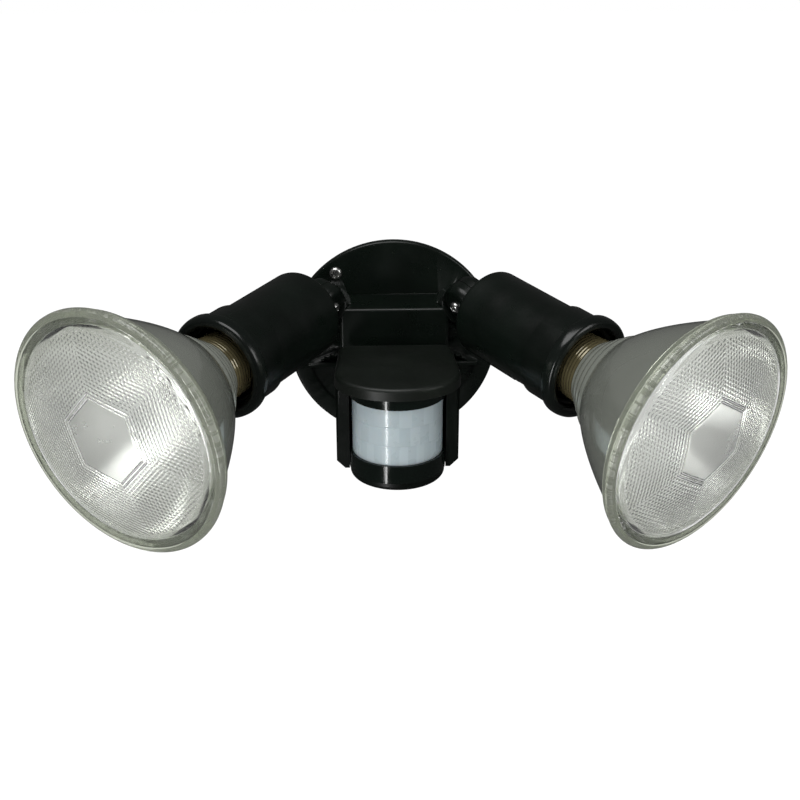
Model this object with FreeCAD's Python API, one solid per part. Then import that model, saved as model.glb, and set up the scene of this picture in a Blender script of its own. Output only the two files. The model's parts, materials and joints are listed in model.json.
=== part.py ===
"""Motion sensor security light: a round wall cover with two aimable lamps and a sensor head.

Millimetres, +Z up. The origin is the centre of the cover's back on the wall plane (Y = 0), the
front of the light faces -Y, and the right-hand lamp is the one on +X.
"""
import FreeCAD
import Part
import math
import os
from FreeCAD import Vector

# ---------------------------------------------------------------- driving dimensions
# Wall cover
plate_radius = 59.3
plate_thickness = 4.0
plate_edge_round = 1.5
foam_thickness = 1.5
foam_width = 5.2
foam_edge_setback = 0.6
plate_rim_width = 9.3
recess_depth = 1.8
ledge_top = -11.5
ledge_thickness = 2.4
ledge_reach = 4.6
brow_rise = 11.0
brow_width = 2.2
brow_reach = 3.2

# Central box of the cover, where the house wires are joined
box_width = 60.0
box_top = 28.5
box_bottom = -17.5
box_reach = 26.0
box_wall = 2.5
box_corner_round = 4.0
box_edge_round = 1.8

# Cover screws
cover_screw_inset = 7.1
cover_screw_angle = 128.0
cover_screw_radius = 2.08
cover_screw_neck_radius = 1.8
cover_screw_stand_out = 20.0
cover_screw_head_radius = 3.65
cover_screw_head_height = 2.3
cover_screw_clearance = 0.3
screw_pad_radius = 6.0
slot_width = 1.0
slot_depth = 1.0
screw_end_chamfer = 0.4

# Where each lamp's knuckle pin stands, and how it is turned (the left one is the mirror image)
knuckle_side = 40.0
knuckle_reach = 32.1
knuckle_height = 33.7
knuckle_yaw = 31.3
knuckle_roll = 18.0
arm_rise = 35.0
right_arm_turn = 2.9
left_arm_turn = -0.3
right_lamp_droop = 8.9
left_lamp_droop = 5.3

# Lamp arm: threaded stem, flange and ear
ear_radius = 11.5
ear_thickness = 8.5
ear_gap = 0.3
ear_round = 5.0
arm_flange_radius = 11.0
arm_flange_thickness = 2.5
arm_flange_round = 1.0
arm_neck_height = 17.0
arm_neck_flare = 2.0
ear_neck_height = 20.7
ear_neck_inset = 1.0
arm_seal_thickness = 0.8
seal_edge_setback = 0.5
stem_radius = 8.0
stem_overrun = 1.0
stem_clearance = 0.3
stem_chamfer = 0.8
wire_bore_radius = 4.5
locknut_radius = 10.5
locknut_thickness = 2.5
locknut_lugs = 6
locknut_notch_width = 2.94
locknut_notch_depth = 1.05
hub_radius = 13.0
hub_wall = 2.2
hub_swing_clearance = 1.0
locknut_swing_clearance = 0.8

# Knuckle pins (machine screws) and their nuts
pin_radius = 2.0
pin_fit = 0.06
pin_head_radius = 3.3
pin_head_height = 2.4
pin_tip = 1.0
nut_across_flats = 7.0
nut_thickness = 3.2
nut_fit = 0.12

# Lamp holder
holder_rear_gap = 4.4
holder_length = 69.4
holder_radius = 23.4
holder_wall = 2.9
holder_floor = 3.5
holder_rear_round = 3.6
wire_hole_side = 3.0
wire_hole_lead = 1.0
collar_length = 15.0
collar_radius = 25.0
collar_slope = 1.6
rib_count = 4
rib_angle = 118.0
rib_spacing = 3.0
rib_length = 36.0
rib_width = 0.9
rib_height = 0.35

# Rubber ring on the holder's mouth
ring_length = 8.5
ring_radius = 27.4
ring_mouth_radius = 21.0
ring_lip_radius = 19.0
ring_spigot = 5.0

# Socket inside the holder
socket_cavity_depth = 13.5
socket_floor_thickness = 3.5
socket_bore_depth = 29.4
socket_cavity_radius = 15.0
socket_clearance = 0.2
socket_chamfer = 2.0
shell_wall = 0.5
contact_thickness = 1.2
contact_height = 3.55
shell_hole_clearance = 1.5
contact_gap = 0.15
contact_radius = 4.0

# Reflector bulb
bulb_radius = 60.5
bulb_length = 135.0
lens_dome = 9.5
lens_rim_height = 3.4
lens_thickness = 3.6
glass_wall = 2.6
rim_depth = 5.0
seam_radius = 59.0
neck_radius = 15.2
neck_mouth_radius = 17.6
neck_length = 33.0
neck_shoulder = 6.6
neck_swell = 1.0
throat_step_count = 3
throat_radius = 27.3
throat_length = 14.0
bowl_rim_radius = 54.3
bowl_arc_count = 3
rim_flare = 0.8
lens_edge_inset = 3.2
base_radius = 13.1
base_clearance = 0.3
base_length = 23.0
base_tip_length = 4.0
base_tip_radius = 4.8
thread_turns = 6
thread_depth = 0.7
thread_margin = 5.0
base_taper = 2.0
base_wall = 1.0
base_inner_rim = 2.0
burner_radius = 5.5
burner_length = 24.0
burner_stem_radius = 3.0
burner_setback = 7.0
burner_shoulder = 2.0
burner_tip_length = 6.0

# Sensor arm: threaded stem, flange and ball
ball_reach = 48.0
ball_height = -4.0
ball_radius = 8.0
ball_neck_radius = 4.2
ball_fit = 0.06
liner_thickness = 1.9
liner_front_reach = 5.5
socket_opening_reach = 3.0
sensor_flange_radius = 10.5
sensor_flange_thickness = 3.0
sensor_stem_radius = 7.5
sensor_wire_bore_radius = 4.0
sensor_locknut_radius = 10.5

# Sensor head
socket_wall = 2.9
clamp_slit = 1.4
clamp_lug_width = 5.0
clamp_lug_drop = 9.0
clamp_lug_round = 2.0
clamp_screw_drop = 4.6
clamp_screw_radius = 1.5
clamp_screw_head_radius = 2.8
clamp_screw_head_height = 1.8
clamp_nut_across_flats = 5.5
clamp_nut_thickness = 2.4
head_rear_reach = 57.2
head_width = 64.8
head_top = 7.5
head_bottom = -44.0
head_corner_round = 8.0
head_wall = 3.0
cheek_front = 80.0
cheek_chamfer = 4.5
drum_centre_reach = 76.0
drum_radius = 25.5
drum_gap = 0.3
drum_wall = 3.0
drum_sweep = 230.0
hood_top = 10.5
hood_lip_height = 6.5
hood_thickness = 2.6
hood_overhang = 0.6
hood_rear_reach = 38.5
hood_straight_reach = 78.5
hood_front_reach = 103.8
hood_rear_taper = 2.0
hood_rear_round = 7.0
hood_edge_round = 2.2
lens_top = -2.0
lens_bottom = -33.6
pir_lens_radius = 24.0
pir_lens_wall = 1.2
pir_groove_width = 0.4
pir_groove_depth = 0.25
pir_band_count = 3
band_bottom = -43.5
cap_bottom = -48.0
cap_edge_round = 2.5
cap_setback = 0.4
cap_boss_radius = 3.4
cap_screw_side = 18.6
cap_screw_back = 7.0

# Inside the sensor head
board_standoff = 2.5
board_thickness = 1.6
board_width = 44.0
board_top = -1.0
board_bottom = -32.0
board_screw_radius = 1.25
board_post_radius = 3.0
board_screw_inset = 4.5
pir_can_radius = 4.6
pir_can_height = 5.0
pir_can_below_top = 15.0
relay_width = 14.0
relay_height = 10.0
relay_depth = 9.0
relay_edge_gap = 2.4
photocell_radius = 2.5
photocell_height = 3.0
pir_brim_width = 0.6
pir_brim_thickness = 0.8
pir_window_width = 4.0
pir_window_height = 3.0
pir_window_depth = 0.4
relay_edge_round = 0.6
board_hole_clearance = 0.1
board_screw_end_gap = 1.5
wall_overlap = 0.5

# Controls under the sensor head
knob_radius = 5.0
knob_height = 3.0
knob_recess = 2.0
knob_shaft_radius = 2.0
knob_shaft_length = 4.0
knob_flute_count = 12
knob_flute_radius = 0.5
knob_side = 11.0
control_setback = 4.0
switch_length = 6.0
switch_width = 3.2
switch_travel = 3.0
switch_stand_out = 1.2
switch_edge_chamfer = 0.5
switch_slot_depth = 2.0
switch_floor_gap = 0.3
switch_slot_clearance = 0.3
control_fit = 0.08
cap_screw_radius = 1.4
cap_screw_head_radius = 2.6
cap_screw_length = 9.0

FORWARD = Vector(0, -1, 0)
BACK = Vector(0, 1, 0)
UP = Vector(0, 0, 1)
DOWN = Vector(0, 0, -1)
LAMP_AXIS = Vector(1, 0, 0)
ORIGIN = Vector(0, 0, 0)


# ---------------------------------------------------------------- small helpers
class Outline:
    """A closed outline of lines and arcs, drawn in the X-Z plane as (u, v)."""

    def __init__(self, u, v):
        self.first = self.last = Vector(u, 0, v)
        self.edges = []

    def line(self, u, v):
        end = Vector(u, 0, v)
        self.edges.append(Part.LineSegment(self.last, end).toShape())
        self.last = end
        return self

    def arc(self, mid_u, mid_v, u, v):
        end = Vector(u, 0, v)
        self.edges.append(Part.Arc(self.last, Vector(mid_u, 0, mid_v), end).toShape())
        self.last = end
        return self

    def dome(self, u, v):
        """An arc from or to a point on the axis, with its centre on the axis too."""
        apex, edge = (self.last.x, Vector(u, 0, v)) if self.last.z == 0 else (u, self.last)
        sag = edge.x - apex
        radius = (edge.z ** 2 + sag ** 2) / (2 * sag)
        half_angle = math.asin(edge.z / abs(radius)) / 2
        return self.arc(
            apex + radius * (1 - math.cos(half_angle)), abs(radius) * math.sin(half_angle), u, v
        )

    def face(self):
        if self.last.distanceToPoint(self.first) > 1e-7:
            self.line(self.first.x, self.first.z)
        return Part.Face(Part.Wire(self.edges))


def turned(outline):
    """Revolves an outline, drawn as (along, radius), about the X axis."""
    return outline.face().revolve(ORIGIN, LAMP_AXIS, 360)


def slab(outline, y_from, y_to):
    """Extrudes an outline along Y."""
    face = outline.face()
    face.translate(Vector(0, y_from, 0))
    return face.extrude(Vector(0, y_to - y_from, 0))


def rod(radius, start, direction, length):
    return Part.makeCylinder(radius, length, start, direction)


def block(x, y, z):
    """A box given by its low and high values along each axis."""
    return Part.makeBox(x[1] - x[0], y[1] - y[0], z[1] - z[0], Vector(x[0], y[0], z[0]))


def joined(shapes):
    first, *rest = shapes
    return first.fuse(rest).removeSplitter()


def rounded_rectangle(x_low, x_high, z_low, z_high, radius):
    """Outline of a rectangle with round corners, counter-clockwise from the bottom left."""
    nip = radius * (1 - 0.5 ** 0.5)
    return (
        Outline(x_low + radius, z_low)
        .line(x_high - radius, z_low)
        .arc(x_high - nip, z_low + nip, x_high, z_low + radius)
        .line(x_high, z_high - radius)
        .arc(x_high - nip, z_high - nip, x_high - radius, z_high)
        .line(x_low + radius, z_high)
        .arc(x_low + nip, z_high - nip, x_low, z_high - radius)
        .line(x_low, z_low + radius)
        .arc(x_low + nip, z_low + nip, x_low + radius, z_low)
    )


def hexagon_prism(across_flats, start, direction, length):
    """A hexagonal prism, such as a nut's outside, along one of the axes."""
    corner = across_flats / 3 ** 0.5
    prism = Part.Face(Part.makePolygon(hexagon_corners(corner))).extrude(Vector(0, 0, length))
    prism.Placement = FreeCAD.Placement(start, FreeCAD.Rotation(UP, direction))
    return prism


def hexagon_corners(corner):
    turn = FreeCAD.Rotation(UP, 60)
    points = [Vector(corner, 0, 0)]
    for _ in range(6):
        points.append(turn.multVec(points[-1]))
    return points


def edges_at(shape, axis, value):
    """The edges of a shape whose every point lies at one value along an axis."""
    found = []
    for edge in shape.Edges:
        box = edge.BoundBox
        low = getattr(box, axis + "Min")
        high = getattr(box, axis + "Max")
        if abs(low - value) < 1e-4 and abs(high - value) < 1e-4:
            found.append(edge)
    return found


def pan_screw(head_radius, head_height, shank_radius, shank_length, neck_radius=0, neck_length=0):
    """A slotted pan-head screw along +X: the shank starts at the origin, the head is behind it.

    A neck is the plain part under the head, thinner than the thread.
    """
    outline = (
        Outline(shank_length, 0)
        .line(shank_length, shank_radius - screw_end_chamfer)
        .line(shank_length - screw_end_chamfer, shank_radius)
        .line(neck_length, shank_radius)
    )
    if neck_radius:
        outline.line(neck_length, neck_radius).line(0, neck_radius)
    outline.line(0, head_radius)
    outline.arc(-0.75 * head_height, 0.86 * head_radius, -head_height, 0.5 * head_radius)
    outline.line(-head_height, 0)
    slot = block(
        (-2 * head_height, slot_depth - head_height),
        (-slot_width / 2, slot_width / 2),
        (-2 * head_radius, 2 * head_radius),
    )
    return turned(outline).cut(slot)


def placed(shape, origin, x_direction):
    """Turns a shape's +X to a direction and moves its origin to a point."""
    moved = shape.copy()
    moved.Placement = FreeCAD.Placement(origin, FreeCAD.Rotation(LAMP_AXIS, x_direction))
    return moved


# ---------------------------------------------------------------- lamp frames
KNUCKLE = Vector(knuckle_side, -knuckle_reach, knuckle_height)
PIN_TURN = FreeCAD.Rotation(UP, knuckle_yaw - 90).multiply(FreeCAD.Rotation(LAMP_AXIS, knuckle_roll))
STEM_TURN = PIN_TURN.multiply(FreeCAD.Rotation(BACK, -arm_rise))


def on_stem(shape):
    """From the stem's own frame (X along the stem, origin at the pin) to the light's."""
    return shape.transformed(FreeCAD.Placement(KNUCKLE, STEM_TURN).toMatrix())


def on_arm(shape, turn):
    """The same for an arm that is turned about its stem, with Y outwards along its pin."""
    arm_turn = STEM_TURN.multiply(FreeCAD.Rotation(LAMP_AXIS, turn))
    return shape.transformed(FreeCAD.Placement(KNUCKLE, arm_turn).toMatrix())


def on_lamp(shape, turn, droop):
    """From a lamp's own frame (X along the lamp's axis, Y outwards along the pin) to the light's."""
    arm_turn = STEM_TURN.multiply(FreeCAD.Rotation(LAMP_AXIS, turn))
    lamp_turn = arm_turn.multiply(FreeCAD.Rotation(BACK, arm_rise + droop))
    return shape.transformed(FreeCAD.Placement(KNUCKLE, lamp_turn).toMatrix())


def mirrored(shape):
    return shape.mirror(ORIGIN, Vector(1, 0, 0))


# Places along the arm's axis, measured from the pin
flange_front = -ear_radius
flange_back = flange_front - arm_flange_thickness
seat_plane = flange_back - arm_seal_thickness
hub_inside = seat_plane - hub_wall
stem_end = hub_inside - locknut_thickness - stem_overrun

# Places along the lamp's axis, measured from the pin; the bulb stands on the socket's contact
holder_rear = ear_radius + holder_rear_gap
holder_front = holder_rear + holder_length
holder_inner_radius = holder_radius - holder_wall
ring_front = holder_front + ring_length
socket_rear = holder_rear + holder_floor
socket_floor = socket_rear + socket_cavity_depth + socket_floor_thickness
socket_front = socket_floor + socket_bore_depth
bulb_tip = socket_floor + contact_height + contact_gap
lens_apex = bulb_tip + bulb_length
bulb_rim = lens_apex - lens_dome
base_rear = bulb_tip + base_tip_length
base_front = base_rear + base_length
neck_front = base_front + neck_length
throat_front = neck_front + throat_length
seam_plane = bulb_rim - lens_rim_height

# Places on the cover
cover_screw_circle = 2 * (plate_radius - cover_screw_inset)
recess_radius = plate_radius - plate_rim_width
plate_face = -(foam_thickness + plate_thickness)
box_front = plate_face - box_reach


# ---------------------------------------------------------------- wall cover
def plate_disc():
    """The round plate with its front edge rounded over."""
    disc = rod(plate_radius, Vector(0, -foam_thickness, 0), FORWARD, plate_thickness)
    return disc.makeFillet(plate_edge_round, edges_at(disc, "Y", plate_face))


def lower_recess():
    """The shallow recess in the lower half, inside a flat rim, less a pad under the screw."""
    sunk = rod(recess_radius, Vector(0, plate_face + recess_depth, 0), FORWARD, 2 * recess_depth)
    below = block(
        (-plate_radius, plate_radius), (2 * plate_face, 0), (-plate_radius, ledge_top - ledge_thickness)
    )
    x, z = screw_places()[1]
    pad = rod(screw_pad_radius, Vector(x, 0, z), FORWARD, 2 * plate_thickness + foam_thickness)
    return sunk.common(below).cut(pad)


def drip_ledge():
    """The straight ledge across the plate, clipped to the recess's circle."""
    reach = rod(recess_radius, ORIGIN, FORWARD, ledge_reach - plate_face)
    bar = block(
        (-plate_radius, plate_radius),
        (plate_face - ledge_reach, plate_face + recess_depth),
        (ledge_top - ledge_thickness, ledge_top),
    )
    return reach.common(bar)


def brow():
    """The arched rib that springs from the ledge's ends and passes over the sensor."""
    half_span = (recess_radius ** 2 - ledge_top ** 2) ** 0.5
    radius = (half_span ** 2 + brow_rise ** 2) / (2 * brow_rise)
    centre = Vector(0, plate_face, ledge_top + brow_rise - radius)
    arch = rod(radius, centre, FORWARD, brow_reach)
    arch = arch.cut(rod(radius - brow_width, centre, FORWARD, brow_reach))
    inside = rod(recess_radius, ORIGIN, FORWARD, 2 * brow_reach - plate_face)
    above = block(
        (-plate_radius, plate_radius), (2 * box_front, 0), (ledge_top - ledge_thickness, plate_radius)
    )
    return arch.common(inside).common(above)


def wiring_box():
    """The raised central box, with round corners and a softened front."""
    half = box_width / 2
    body = slab(
        rounded_rectangle(-half, half, box_bottom, box_top, box_corner_round), box_front, plate_face
    )
    return body.makeFillet(box_edge_round, edges_at(body, "Y", box_front))


def wiring_space():
    half = box_width / 2 - box_wall
    corner = box_corner_round - box_wall / 2
    return slab(
        rounded_rectangle(-half, half, box_bottom + box_wall, box_top - box_wall, corner),
        box_front + box_wall,
        0,
    )


def arm_hub():
    """The slanting hub that carries one lamp arm, trimmed to the plate's back."""
    hub = on_stem(rod(hub_radius, Vector(seat_plane, 0, 0), -LAMP_AXIS, knuckle_reach))
    return hub.common(rod(plate_radius - plate_edge_round, Vector(0, -foam_thickness, 0), FORWARD,
                          knuckle_reach + box_reach))


def arm_hub_space():
    """What the hub leaves free: the stem's hole, the nut's space and the arm's swing."""
    hole = rod(stem_radius + stem_clearance, Vector(seat_plane, 0, 0), -LAMP_AXIS, hub_wall)
    nut_space = rod(
        locknut_radius + locknut_swing_clearance, Vector(hub_inside, 0, 0), -LAMP_AXIS, knuckle_reach
    )
    swing = rod(
        arm_flange_radius + hub_swing_clearance, Vector(seat_plane, 0, 0), LAMP_AXIS, knuckle_reach
    )
    nut_space = on_stem(nut_space).common(
        block((0, plate_radius), (2 * box_front, 0), (-plate_radius, plate_radius))
    )
    return joined([on_stem(hole), nut_space, on_stem(swing)])


def screw_places():
    """The two cover screws' places as (x, z), opposite each other on their circle."""
    first = FreeCAD.Rotation(FORWARD, cover_screw_angle).multVec(LAMP_AXIS * cover_screw_circle / 2)
    return [(first.x, first.z), (-first.x, -first.z)]


def cover_plate():
    hubs = [arm_hub(), mirrored(arm_hub())]
    body = joined([plate_disc(), wiring_box(), *hubs])
    spaces = [wiring_space(), arm_hub_space(), mirrored(arm_hub_space())]
    sensor_hole = rod(
        sensor_stem_radius + stem_clearance,
        Vector(0, 0, ball_height),
        FORWARD,
        2 * box_reach - plate_face,
    )
    holes = [
        rod(cover_screw_radius + cover_screw_clearance, Vector(x, 0, z), FORWARD, -2 * plate_face)
        for x, z in screw_places()
    ]
    body = body.cut([lower_recess(), *spaces])
    trim = wiring_space()
    ribs = [rib.cut([trim, arm_hub_space(), mirrored(arm_hub_space())]) for rib in (drip_ledge(), brow())]
    return joined([body, *ribs]).cut([sensor_hole, *holes])


def foam_gasket():
    ring = rod(plate_radius - foam_edge_setback, ORIGIN, FORWARD, foam_thickness)
    holes = [
        rod(cover_screw_radius + cover_screw_clearance, Vector(x, 0, z), FORWARD, foam_thickness)
        for x, z in screw_places()
    ]
    inner_radius = plate_radius - foam_edge_setback - foam_width
    return ring.cut([rod(inner_radius, ORIGIN, FORWARD, foam_thickness), *holes])


def cover_screws():
    """Both cover screws: heads on the plate, shanks standing out behind the wall plane."""
    screw = pan_screw(
        cover_screw_head_radius,
        cover_screw_head_height,
        cover_screw_radius,
        cover_screw_stand_out - plate_face,
        cover_screw_neck_radius,
        -plate_face,
    )
    return Part.makeCompound(
        [placed(screw, Vector(x, plate_face, z), BACK) for x, z in screw_places()]
    )


# ---------------------------------------------------------------- knuckle hardware
def hex_nut(across_flats, thickness, bore, start, direction):
    nut = hexagon_prism(across_flats, start, direction, thickness)
    return nut.cut(rod(bore, start, direction, thickness))


def nut_pocket(across_flats, thickness, start, direction):
    """A hexagonal pocket for a nut, in from a lug's outer face."""
    return hexagon_prism(across_flats + 2 * nut_fit, start, direction, thickness)


def lug_ring(radius, bore, thickness, front):
    """A ring nut with lugs round its edge, whose front face is at one place along X."""
    ring = rod(radius, Vector(front, 0, 0), -LAMP_AXIS, thickness)
    half = locknut_notch_width / 2
    for index in range(locknut_lugs):
        notch = block((front - thickness, front), (-half, half), (radius - locknut_notch_depth, 2 * radius))
        ring = ring.cut(notch.rotated(ORIGIN, LAMP_AXIS, 360 * index / locknut_lugs))
    return ring.cut(rod(bore, Vector(front, 0, 0), -LAMP_AXIS, thickness))


# ---------------------------------------------------------------- lamp arm
def knuckle_arm():
    """Threaded stem, round flange and one ear of the knuckle, with a bore for the wires."""
    half_neck = arm_neck_height / 2
    half_ear = ear_neck_height / 2
    inner_ear = (-ear_gap / 2 - ear_thickness, -ear_gap / 2)
    ear = rod(ear_radius, Vector(0, inner_ear[1], 0), -BACK, ear_thickness)
    ear = ear.makeFillet(ear_round, edges_at(ear, "Y", inner_ear[0]))
    neck = slab(
        Outline(flange_front - wall_overlap, -half_neck)
        .line(flange_front + arm_neck_flare, -half_neck)
        .line(0, -half_ear)
        .line(0, half_ear)
        .line(flange_front + arm_neck_flare, half_neck)
        .line(flange_front - wall_overlap, half_neck),
        inner_ear[0] + ear_neck_inset,
        inner_ear[1],
    )
    flange = rod(arm_flange_radius, Vector(flange_front, 0, 0), -LAMP_AXIS, arm_flange_thickness)
    flange = flange.makeFillet(arm_flange_round, edges_at(flange, "X", flange_front))
    stem = rod(stem_radius, Vector(flange_back, 0, 0), -LAMP_AXIS, flange_back - stem_end)
    stem = stem.makeChamfer(stem_chamfer, edges_at(stem, "X", stem_end))
    bore = rod(wire_bore_radius, Vector(flange_back, 0, 0), -LAMP_AXIS, flange_back - stem_end)
    hole = rod(pin_radius + pin_fit, Vector(0, 0, 0), -BACK, 2 * ear_thickness)
    return joined([ear, neck, flange, stem]).cut([bore, hole])


def arm_seal():
    radius = arm_flange_radius - seal_edge_setback
    ring = rod(radius, Vector(flange_back, 0, 0), -LAMP_AXIS, arm_seal_thickness)
    return ring.cut(rod(stem_radius, Vector(flange_back, 0, 0), -LAMP_AXIS, arm_seal_thickness))


def arm_locknut():
    return lug_ring(locknut_radius, stem_radius, locknut_thickness, hub_inside)


def knuckle_screw():
    """The pin of a lamp knuckle: its head lies on the arm's ear, on the inner side."""
    length = 2 * ear_thickness + ear_gap + pin_tip
    screw = pan_screw(pin_head_radius, pin_head_height, pin_radius, length)
    return placed(screw, Vector(0, -ear_gap / 2 - ear_thickness, 0), BACK)


def knuckle_nut_start():
    return Vector(0, ear_gap / 2 + ear_thickness - nut_thickness, 0)


def knuckle_nut():
    return hex_nut(nut_across_flats, nut_thickness, pin_radius + pin_fit, knuckle_nut_start(), BACK)


# ---------------------------------------------------------------- lamp holder
def holder_outline():
    """Outside of the holder: rounded rear, straight sleeve and a wider collar."""
    round_off = holder_rear_round
    nip = round_off * (1 - 0.5 ** 0.5)
    collar_start = holder_front - collar_length
    return (
        Outline(holder_rear, 0)
        .line(holder_rear, holder_radius - round_off)
        .arc(holder_rear + nip, holder_radius - nip, holder_rear + round_off, holder_radius)
        .line(collar_start - collar_slope, holder_radius)
        .line(collar_start, collar_radius)
        .line(holder_front, collar_radius)
        .line(holder_front, holder_inner_radius)
        .line(socket_rear, holder_inner_radius)
        .line(socket_rear, 0)
    )


def holder_ear():
    """The holder's own ear, on the outer side of the arm's ear, with its nut pocket."""
    low, high = ear_gap / 2, ear_gap / 2 + ear_thickness
    half_neck = arm_neck_height / 2
    half_ear = ear_neck_height / 2
    disc = rod(ear_radius, Vector(0, low, 0), BACK, ear_thickness)
    disc = disc.makeFillet(ear_round, edges_at(disc, "Y", high))
    neck = slab(
        Outline(0, -half_ear)
        .line(holder_rear + wall_overlap, -half_neck)
        .line(holder_rear + wall_overlap, half_neck)
        .line(0, half_ear),
        low,
        high - ear_neck_inset,
    )
    return joined([disc, neck])


def side_ribs():
    """Fine raised lines along the right-hand sleeve, on its lower front side."""
    start = holder_rear + holder_rear_round
    ribs = []
    for index in range(rib_count):
        rib = block(
            (start + index, start + index + rib_length),
            (-rib_width / 2, rib_width / 2),
            (holder_radius - wall_overlap, holder_radius + rib_height),
        )
        angle = rib_angle + math.degrees(index * rib_spacing / holder_radius)
        ribs.append(rib.rotated(ORIGIN, LAMP_AXIS, angle))
    return ribs


def lamp_holder(ribbed):
    ribs = side_ribs() if ribbed else []
    body = joined([turned(holder_outline()), holder_ear(), *ribs])
    hole = rod(pin_radius + pin_fit, ORIGIN, BACK, 2 * ear_thickness)
    wires = rod(
        wire_bore_radius,
        Vector(holder_rear - wire_hole_lead, -wire_hole_side, 0),
        LAMP_AXIS,
        holder_floor + 2 * wire_hole_lead,
    )
    pocket = nut_pocket(nut_across_flats, nut_thickness, knuckle_nut_start(), BACK)
    return body.cut([hole, wires, pocket])


def mouth_ring():
    """The glossy rubber ring rolled over the holder's mouth, with a spigot inside the sleeve."""
    front, back = ring_front, holder_front
    outer = holder_inner_radius
    crown = back + 0.5 * ring_length
    outline = (
        Outline(back, outer)
        .line(back, collar_radius + 0.4)
        .arc(back + 0.2 * ring_length, collar_radius + 2.2, crown, ring_radius)
        .arc(front - 0.4, 0.5 * (ring_radius + ring_mouth_radius) + 1.6, front - 1.2, ring_mouth_radius + 1)
        .line(back + 3.0, ring_mouth_radius)
        .line(back + 1.5, ring_lip_radius)
        .line(back - ring_spigot, ring_lip_radius)
        .line(back - ring_spigot, outer)
    )
    return turned(outline)


def socket_body():
    """Porcelain socket: a bore for the screw shell in front, a wiring cavity behind."""
    radius = holder_inner_radius - socket_clearance
    shell_outside = base_radius + base_clearance + shell_wall
    outline = (
        Outline(socket_rear, socket_cavity_radius)
        .line(socket_rear, radius)
        .line(socket_front - socket_chamfer, radius)
        .line(socket_front, radius - socket_chamfer)
        .line(socket_front, shell_outside)
        .line(socket_floor, shell_outside)
        .line(socket_floor, 0)
        .line(socket_rear + socket_cavity_depth, 0)
        .line(socket_rear + socket_cavity_depth, socket_cavity_radius)
    )
    return turned(outline)


def screw_shell():
    """The socket's metal shell: a thin sleeve with a flanged floor that has a hole for the contact."""
    inside = base_radius + base_clearance
    outside = inside + shell_wall
    hole = contact_radius + shell_hole_clearance
    outline = (
        Outline(socket_floor, hole)
        .line(socket_floor, outside)
        .line(socket_front, outside)
        .line(socket_front, inside)
        .line(socket_floor + shell_wall, inside)
        .line(socket_floor + shell_wall, hole)
    )
    return turned(outline)


def centre_contact():
    """The button that the bulb's tip presses on."""
    outline = (
        Outline(socket_floor, 0)
        .line(socket_floor, contact_radius)
        .line(socket_floor + contact_thickness / 2, contact_radius)
        .dome(bulb_tip - contact_gap, 0)
    )
    return turned(outline)


# ---------------------------------------------------------------- reflector bulb
def bowl_radius(along):
    """The reflector's outer radius: a parabola from the throat to the rim."""
    back, front = throat_front, seam_plane - rim_depth
    share = (along - back) / (front - back)
    return (throat_radius ** 2 + share * (bowl_rim_radius ** 2 - throat_radius ** 2)) ** 0.5


def bowl_outline(inset):
    """Neck, stepped throat, parabola and rim of the glass, drawn inwards by an inset."""
    outline = Outline(base_front, neck_radius - inset)
    outline.line(base_front + neck_shoulder, neck_radius + neck_swell - inset)
    outline.line(neck_front, neck_mouth_radius - inset)
    steps = throat_step_count
    rise = (throat_radius - neck_mouth_radius) / steps
    run = throat_length / steps
    for index in range(steps):
        u, v = neck_front + index * run, neck_mouth_radius + index * rise - inset
        outline.arc(u + 0.15 * run, v + 0.62 * rise, u + 0.7 * run, v + 0.92 * rise)
        outline.line(u + run, v + rise)
    back, front = throat_front, seam_plane - rim_depth
    for index in range(bowl_arc_count):
        start = back + (front - back) * index / bowl_arc_count
        end = back + (front - back) * (index + 1) / bowl_arc_count
        middle = (start + end) / 2
        outline.arc(middle, bowl_radius(middle) - inset, end, bowl_radius(end) - inset)
    return outline


def rim_inside_radius():
    """The reflector's inner radius where its rim meets the lens."""
    return bowl_radius(seam_plane - rim_depth) - glass_wall + rim_flare


def bulb_reflector():
    """Pressed glass bowl: neck, stepped throat, parabola and a thick rim."""
    outer = bowl_outline(0)
    outer.line(seam_plane - 0.45 * rim_depth, seam_radius - rim_flare)
    outer.line(seam_plane, seam_radius)
    outer.line(seam_plane, 0)
    outer.line(base_front, 0)
    inner = bowl_outline(glass_wall)
    inner.line(seam_plane, rim_inside_radius())
    inner.line(seam_plane, 0)
    inner.line(base_front, 0)
    return turned(outer).cut(turned(inner))


def bulb_lens():
    """Pressed glass front: a thick rim and a shallow dome, open behind."""
    rim_inside = rim_inside_radius()
    shoulder = bulb_rim + 0.45 * lens_rim_height
    dome_edge = bulb_radius - lens_edge_inset
    outline = (
        Outline(seam_plane, rim_inside)
        .line(seam_plane, seam_radius)
        .arc(bulb_rim - 0.5, bulb_radius, shoulder - 0.6, bulb_radius - 1.2)
        .arc(shoulder - 0.1, bulb_radius - 2.2, shoulder, dome_edge)
        .dome(lens_apex, 0)
        .line(lens_apex - lens_thickness, 0)
        .dome(shoulder - lens_thickness, rim_inside)
    )
    return turned(outline)


def bulb_base():
    """The screw base: a rolled round thread on a sleeve, closed towards the tip."""
    pitch = (base_length - thread_margin) / thread_turns
    root = base_radius - thread_depth
    inner_rim = base_tip_radius + base_inner_rim
    outline = Outline(base_rear, inner_rim + base_wall)
    outline.line(base_rear + base_taper, root)
    for index in range(thread_turns):
        start = base_rear + base_taper + index * pitch
        outline.arc(start + pitch / 2, base_radius, start + pitch, root)
    outline.line(base_front, root)
    outline.line(base_front, root - base_wall)
    outline.line(base_rear + base_taper + base_wall, root - base_wall)
    outline.line(base_rear + base_wall, inner_rim)
    outline.line(base_rear, inner_rim)
    return turned(outline)


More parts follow.
